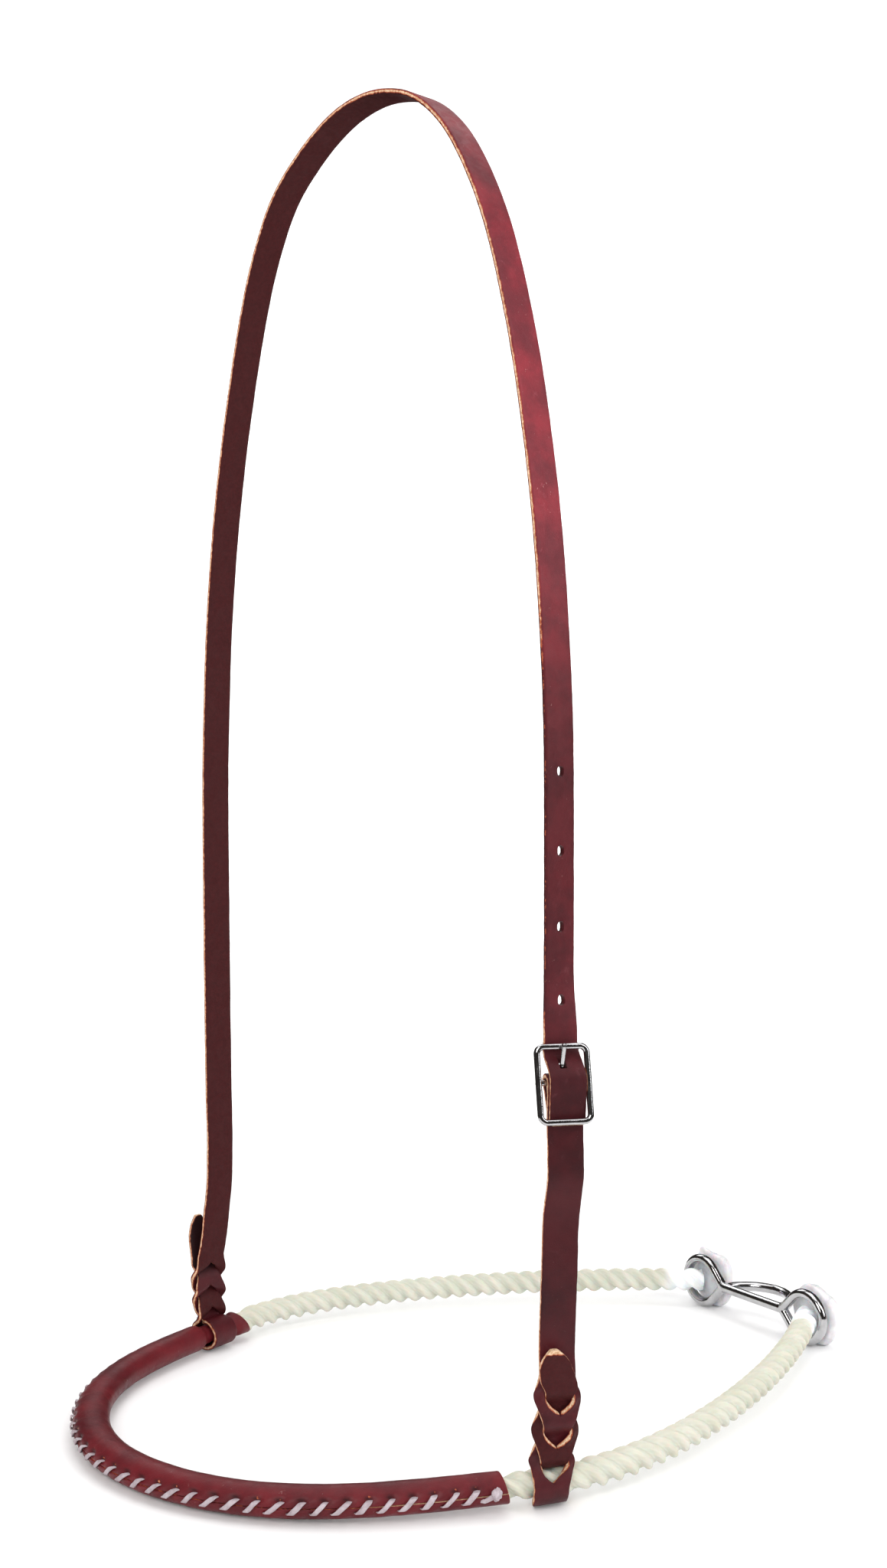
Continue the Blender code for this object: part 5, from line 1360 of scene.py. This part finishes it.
def strap_object(name, rows, marks, holes=(), grain=0, shade_spots=()):
    """A leather strap with rounded raw edges. Where the two inner edges of its rows part it is
    slit. The marks give each row's edge rawness, skived share and painted shade, and the shade
    spots add painted shade round given points."""
    rows = refined(rows)
    across = units(rows[:, 5] - rows[:, 0])
    opened = ((rows[:, 3] - rows[:, 2]) * across).sum(axis=1)
    whole = opened < SLIT_CLOSED
    rows[whole, 2:4] = ((rows[:, 2] + rows[:, 3]) / 2)[whole, None]
    for row, sideways in zip(rows, across):
        for edge in (0, 5):
            wander = EDGE_WANDER[0] * rumple(row[edge], 170.0, edge)
            row[edge] += sideways * (wander + EDGE_WANDER[1] * rumple(row[edge], 900.0, edge))
    slit = np.clip(opened / 0.0005, 0, 1) * ~whole
    skins, normals = strap_skins(rows, whole)
    columns, last = skins[0].shape[1], len(EDGE_COLUMNS)
    edge_height = EDGE_ROUND**2 - (EDGE_ROUND - np.array(EDGE_COLUMNS)) ** 2
    edge_height = STRAP_THICKNESS / 2 - EDGE_ROUND + np.sqrt(edge_height)
    centres = rows.mean(axis=1)
    to_end = run_lengths(centres[::-1])[::-1]
    points, values = [], []

    def add(point, *numbers):
        points.append(point)
        values.append(numbers)
        return len(points) - 1

    index = np.zeros((len(rows), 2, columns, 2), int)
    rims = np.zeros((len(rows), 2, 2), int)
    for i, half, c in itertools.product(range(len(rows)), (0, 1), range(columns)):
        edge_share, skived, dark = marks(centres[i], to_end[i])
        if half == 1 and c == columns - 1 and whole[i]:
            index[i, 1, c], rims[i, 1, 1] = index[i, 0, c], rims[i, 0, 1]
            continue
        height, bare, from_inner = STRAP_THICKNESS / 2, 0.0, columns - 1 - c
        if c < last:
            height, bare = edge_height[c], EDGE_RAWNESS[c]
        if from_inner < last:
            height += (edge_height[from_inner] - height) * slit[i]
            bare = EDGE_RAWNESS[from_inner] * slit[i]
        bare = 1.0 if i in (0, len(rows) - 1) else min(1.0, max(bare * edge_share, skived))
        spot, normal = skins[half][i, c], normals[half][i, c]
        dip = sum(hole_dip(spot, hole) for hole in holes)
        height += SKIN_RUMPLE * rumple(spot, 500.0)
        # Painted shade round the given points, beside the tongue's slit
        for shade_spot in shade_spots:
            dark = max(dark, 0.9 * bell(np.linalg.norm(spot - shade_spot) / SHADE_SPOT_RADIUS))
        for side, sign in enumerate((1, -1)):
            grained = float(side == grain)
            place = spot + normal * (sign * height - dip)
            index[i, half, c, side] = add(place, bare, 1 - grained, dark * grained)
        if c in (0, columns - 1):
            away = spot - skins[half][i, c - 1 if c else 1]
            away = away / max(np.linalg.norm(away), 1e-9)
            bulge = EDGE_BULGE * (slit[i] if c else 1.0)
            place = spot + away * bulge * (1 + 0.8 * rumple(spot, 1100.0))
            edge_bare = slit[i] if c else min(1.0, edge_share)
            rims[i, half, int(c > 0)] = add(place, edge_bare, 0.5, 0.0)
    faces = []
    for i in range(len(rows) - 1):
        for half in (0, 1):
            a, b = index[i, half], index[i + 1, half]
            for c in range(columns - 1):
                for side in (0, 1):
                    faces.append((a[c, side], a[c + 1, side], b[c + 1, side], b[c, side]))
            for end in (0,) if whole[i] and whole[i + 1] else (0, 1):
                c, here, there = -end, rims[i, half, end], rims[i + 1, half, end]
                faces += [(a[c, 0], b[c, 0], there, here), (here, there, b[c, 1], a[c, 1])]
    for i in (0, len(rows) - 1):
        for half in (0, 1):
            for c in range(columns - 1):
                a, b = index[i, half, c], index[i, half, c + 1]
                ring = [a[0], b[0], b[1], a[1]]
                if c == 0:
                    ring.append(rims[i, half, 0])
                if c == columns - 2:
                    ring.insert(2, rims[i, half, 1])
                faces.append(tuple(ring))
    used = np.unique([k for face in faces for k in face])
    place = np.zeros(len(points), int)
    place[used] = np.arange(len(used))
    faces = [tuple(place[list(face)].tolist()) for face in faces]
    made = plain_object(name, np.array(points)[used], faces)
    raw, flesh, shade = np.array(values)[used].T
    set_values(made.data, raw=raw, flesh=flesh, shade=shade)
    return made


def cheek_marks(centre, to_end):
    """The near knot's edges are frayed pale, and its tip is cut at a bevel."""
    knotted = 1 - smooth_step((centre[2] - 0.045) / 0.01)
    return 1 + 0.45 * knotted, 0.95 * (1 - smooth_step((to_end - 0.0009) / 0.0012)), 0.0


def crown_marks(centre, to_end):
    """The holed leg's edges are burnished dark, and the far tip's smooth side gets painted shade,
    near black.
    """
    burnished = 0.0
    if centre[1] < 0:
        burnished = smooth_step((centre[2] - 0.146) / 0.008)
        burnished *= 1 - smooth_step((centre[2] - 0.255) / 0.035)
    return 0.92 - 0.55 * burnished, 0.0, 0.88 * (1 - smooth_step((to_end - 0.021) / 0.006))


def hole_dip(spot, hole):
    """The grain side sinks a little round a punched hole."""
    distance = np.linalg.norm(spot - hole)
    if distance > HOLE_SINK_REACH:
        return 0.0
    return HOLE_SINK * bell((distance - BILLET_HOLE_RADIUS) / HOLE_SINK_SPREAD)


def cheek_rows():
    """Rows of the lower near strap: its fold round the buckle's bar, and its knot on the rope."""
    back = layer_stations(buckle_layer(2, [])[::-1], slot_below=FOLD_SLOT_BOTTOM)
    lowest = back[0][2]
    for number, station in enumerate(back):
        taper = STRAP_HALF_WIDTH * (0.62 + 0.28 * min(1.0, (station[2] - lowest) / 0.012))
        back[number] = station[:3] + (taper,) + station[4:]
    tip = flat_station(lowest - 0.0012, back[0][1], STRAP_HALF_WIDTH * 0.45)
    front = buckle_layer(1, np.linspace(math.pi, 0, 11))
    stations = [tip] + back + layer_stations(front, slot_below=FOLD_SLOT_BOTTOM)
    _, depth, height = stations[-1][:3]
    stations += [flat_station(height - 0.008, depth), flat_station(height - 0.016, depth - 0.0001)]
    stations += [flat_station(height, depth) for height, depth in CHEEK_LEG]
    knot = NEAR_LOOP_BORE, NEAR_KNOT_OFFSET, NEAR_KNOT_HEIGHTS
    stations += list(knot_going_down(*knot))
    rising = knot_going_up(*knot, NEAR_TIP_LEAN)
    down = place_stations(stations, NEAR_FRAME, NEAR_SWAY, near_twist, NEAR_LOOP_SKEW)
    up = place_stations(rising, NEAR_FRAME, NEAR_TIP_SWAY, near_twist, NEAR_LOOP_SKEW)
    return np.array(down + up)


def crown_rows():
    """Rows of the headstall strap: its holed end in the buckle, the arch, and the far knot."""
    billet = place_stations(billet_stations(), NEAR_FRAME, NEAR_SWAY, billet_twist)
    knot = FAR_LOOP_BORE, FAR_KNOT_OFFSET, FAR_KNOT_HEIGHTS
    leg = [flat_station(height, FAR_KNOT_OFFSET + depth) for height, depth in CROWN_LEG]
    leg += list(knot_going_down(*knot))
    down = place_stations(leg, FAR_FRAME, FAR_SWAY, far_twist)
    up = place_stations(knot_going_up(*knot, FAR_TIP_LEAN), FAR_FRAME, FAR_TIP_SWAY, far_twist)
    return np.concatenate([joined_rows(billet, arch_rows()), down, up])


def punch(strap, cutters):
    """Cuts closed shapes out of a strap and gives its new points the nearest old ones' values."""
    old = strap.data
    tree = kdtree.KDTree(len(old.vertices))
    for vertex in old.vertices:
        tree.insert(vertex.co, vertex.index)
    tree.balance()
    values = {}
    for name in ("raw", "flesh", "shade"):
        values[name] = np.zeros(len(old.vertices), np.float32)
        old.attributes[name].data.foreach_get("value", values[name])
    for cutter in cutters:
        step = strap.modifiers.new("punch", "BOOLEAN")
        step.operation = "DIFFERENCE"
        step.solver = "EXACT"
        step.object = cutter
    apply_modifiers(strap)
    nearest = [tree.find(vertex.co)[1] for vertex in strap.data.vertices]
    set_values(strap.data, **{name: numbers[nearest] for name, numbers in values.items()})
    for cutter in cutters:
        bpy.data.objects.remove(cutter, do_unlink=True)


def hole_cutter(height):
    """A round punch's cut through the near leg, slightly taller than wide."""
    centre = near_leg_point(height)
    through, across = np.array([*ARCH_DIRECTION, 0.0]), np.array([*ARCH_ACROSS, 0.0])
    rings = [], []
    for ring, reach in zip(rings, (-0.008, 0.008)):
        for j in range(PUNCH_SIDES):
            angle = 2 * math.pi * (j + 0.5) / PUNCH_SIDES
            radius = BILLET_HOLE_RADIUS * (1 + 0.04 * math.sin(3 * angle + height * 900))
            up = radius * math.sin(angle) + math.copysign(BILLET_HOLE_STRETCH, math.sin(angle))
            level = centre + through * reach + across * radius * math.cos(angle)
            ring.append(level + np.array([0, 0, up]))
    return tube_object("hole_cutter", (rings, False))


def tongue_cutter():
    """The slit in the holed end that the tongue lies in."""
    low, high = TONGUE_ANGLE - math.radians(9), TONGUE_ANGLE + TONGUE_LIFT + math.radians(1)
    half = TONGUE_WIRE + 0.0003
    rings = [], []
    for ring, reach in zip(rings, (0.0034, 0.0125)):
        for side, angle in ((-1, low), (1, low), (1, high), (-1, high)):
            edge = -half if angle == low else half
            depth = -BUCKLE_BAR_SETBACK + reach * math.sin(angle) + edge * math.cos(angle)
            height = reach * math.cos(angle) - edge * math.sin(angle)
            ring.append(buckle_point(side * half, depth, height))
    return tube_object("tongue_cutter", (rings, False))


def build_straps(surface):
    """The cheek strap, and the crown strap with its holes and its slit for the tongue."""
    cheek = strap_object("cheek_strap_leather", cheek_rows(), cheek_marks, grain=1)
    finish_piece(cheek, surface, "headstall", "cheek_strap")
    holes = [near_leg_point(height) for height in BILLET_HOLE_HEIGHTS]
    # Painted shade spots round the tongue's slit
    shade_spots = [buckle_point(x, -BEHIND_FRAME, height) for x, height in TONGUE_SLOT_SHADE]
    crown = strap_object("crown_strap_leather", crown_rows(), crown_marks, holes, shade_spots=shade_spots)
    punch(crown, [hole_cutter(height) for height in BILLET_HOLE_HEIGHTS] + [tongue_cutter()])
    finish_piece(crown, surface, "headstall", "crown_strap")


# ----------------------------------------------------- stage and camera


def build_paper(name, paper_name, glow, rings):
    """A round sheet of pale paper through (radius, height) rings, for the stage."""
    points = []
    for radius, height in rings:
        for angle in 2 * math.pi * np.arange(PAPER_SIDES) / PAPER_SIDES:
            points.append((radius * math.cos(angle), radius * math.sin(angle), height + PAPER_DROP))
    faces = grid_faces(len(rings), PAPER_SIDES)
    if name == "studio_floor":
        points.append((0.0, 0.0, PAPER_DROP))
        faces += [(len(points) - 1, (j + 1) % PAPER_SIDES, j) for j in range(PAPER_SIDES)]
    surface = Surface(paper_name, Roughness=0.9, Emission_Strength=glow)
    tone = surface.remap(surface.cloud(6.0, 3.0), 0.3, 0.7)
    colour = surface.blend(tone, (0.88, 0.88, 0.88), (0.9, 0.9, 0.9))
    for socket in ("Base Color", "Emission Color"):
        surface.feed(surface.shader.inputs[socket], colour)
    mesh = bpy.data.meshes.new(name)
    mesh.from_pydata(points, [], faces)
    mesh.shade_smooth()
    mesh.materials.append(surface.material)
    paper = linked(name, mesh)
    paper.visible_glossy = name == "studio_floor"


def build_stage():
    """A pale floor that curves up into a round backdrop, with soft light from above."""
    curve = [(0.4, 0.0), (0.8, 0.0), (COVE_START, 0.0)]
    for angle in np.linspace(0.1, math.pi / 2, 16):
        radius = COVE_START + COVE_RADIUS * math.sin(angle)
        curve.append((radius, COVE_RADIUS - COVE_RADIUS * math.cos(angle)))
    curve += [(1.75, 1.0), (1.75, 1.5)]
    build_paper("studio_floor", "studio_paper", FLOOR_GLOW, [(0.2, 0.0), (0.4, 0.0)])
    build_paper("studio_backdrop", "studio_backdrop_paper", BACKDROP_GLOW, curve)
    world = bpy.data.worlds.new("studio_room")
    world.use_nodes = True
    background = world.node_tree.nodes["Background"]
    background.inputs["Color"].default_value = ROOM_TINT
    background.inputs["Strength"].default_value = ROOM_LIGHT
    bpy.context.scene.world = world
    for name, place, target, size, power, tint in LIGHTS:
        lamp = bpy.data.lights.new(name, "AREA")
        lamp.shape = "RECTANGLE"
        lamp.size, lamp.size_y = size
        lamp.energy = power
        lamp.color = tint
        made = linked(name, lamp)
        made.location = place
        made.rotation_mode = "QUATERNION"
        made.rotation_quaternion = (Vector(target) - Vector(place)).to_track_quat("-Z", "Y")


def build_camera():
    """The photograph's viewpoint, placed in the flat noseband frame and tipped with it."""
    yaw, pitch = math.radians(CAMERA_YAW), math.radians(CAMERA_PITCH)
    c, s = math.cos(yaw), math.sin(yaw)
    look = Vector((s * math.cos(pitch), c * math.cos(pitch), math.sin(pitch)))
    right = Vector((c, -s, 0.0))
    place = Matrix((right, right.cross(look), -look)).transposed().to_4x4()
    place.translation = (-CAMERA_DISTANCE * s, -CAMERA_DISTANCE * c, CAMERA_HEIGHT)
    stand = Matrix.Rotation(-STAND_PITCH, 4, "Y")
    stand.translation = (*STAND_CENTRE, STAND_LIFT)
    data = bpy.data.cameras.new("photo_camera")
    data.sensor_fit = "VERTICAL"
    data.sensor_height = SENSOR_HEIGHT
    data.lens = CAMERA_FOCAL_PIXELS / PHOTO_HEIGHT * SENSOR_HEIGHT
    data.clip_start = 0.01
    made = linked("photo_camera", data)
    made.matrix_world = stand @ place
    bpy.context.scene.camera = made


def main():
    bpy.context.scene.view_settings.view_transform = "Standard"
    build_stage()
    build_camera()
    chrome, fused = chrome_surface(), fused_surface()
    build_rope(rope_surface())
    build_cover(leather("scene_cover_leather", *COVER_LEATHER))
    build_lace(lace_surface())
    build_stop("near_stop_melted", -1, NEAR_STOP_BULGES, fused, "near_rope_stop")
    build_stop("far_stop_melted", 1, FAR_STOP_BULGES, fused, "far_rope_stop")
    build_connector(chrome)
    build_straps(leather("scene_latigo_leather", *STRAP_LEATHER, STRAP_PAINTED_LIGHT))
    build_buckle(chrome)
    build_tongue(chrome)


main()
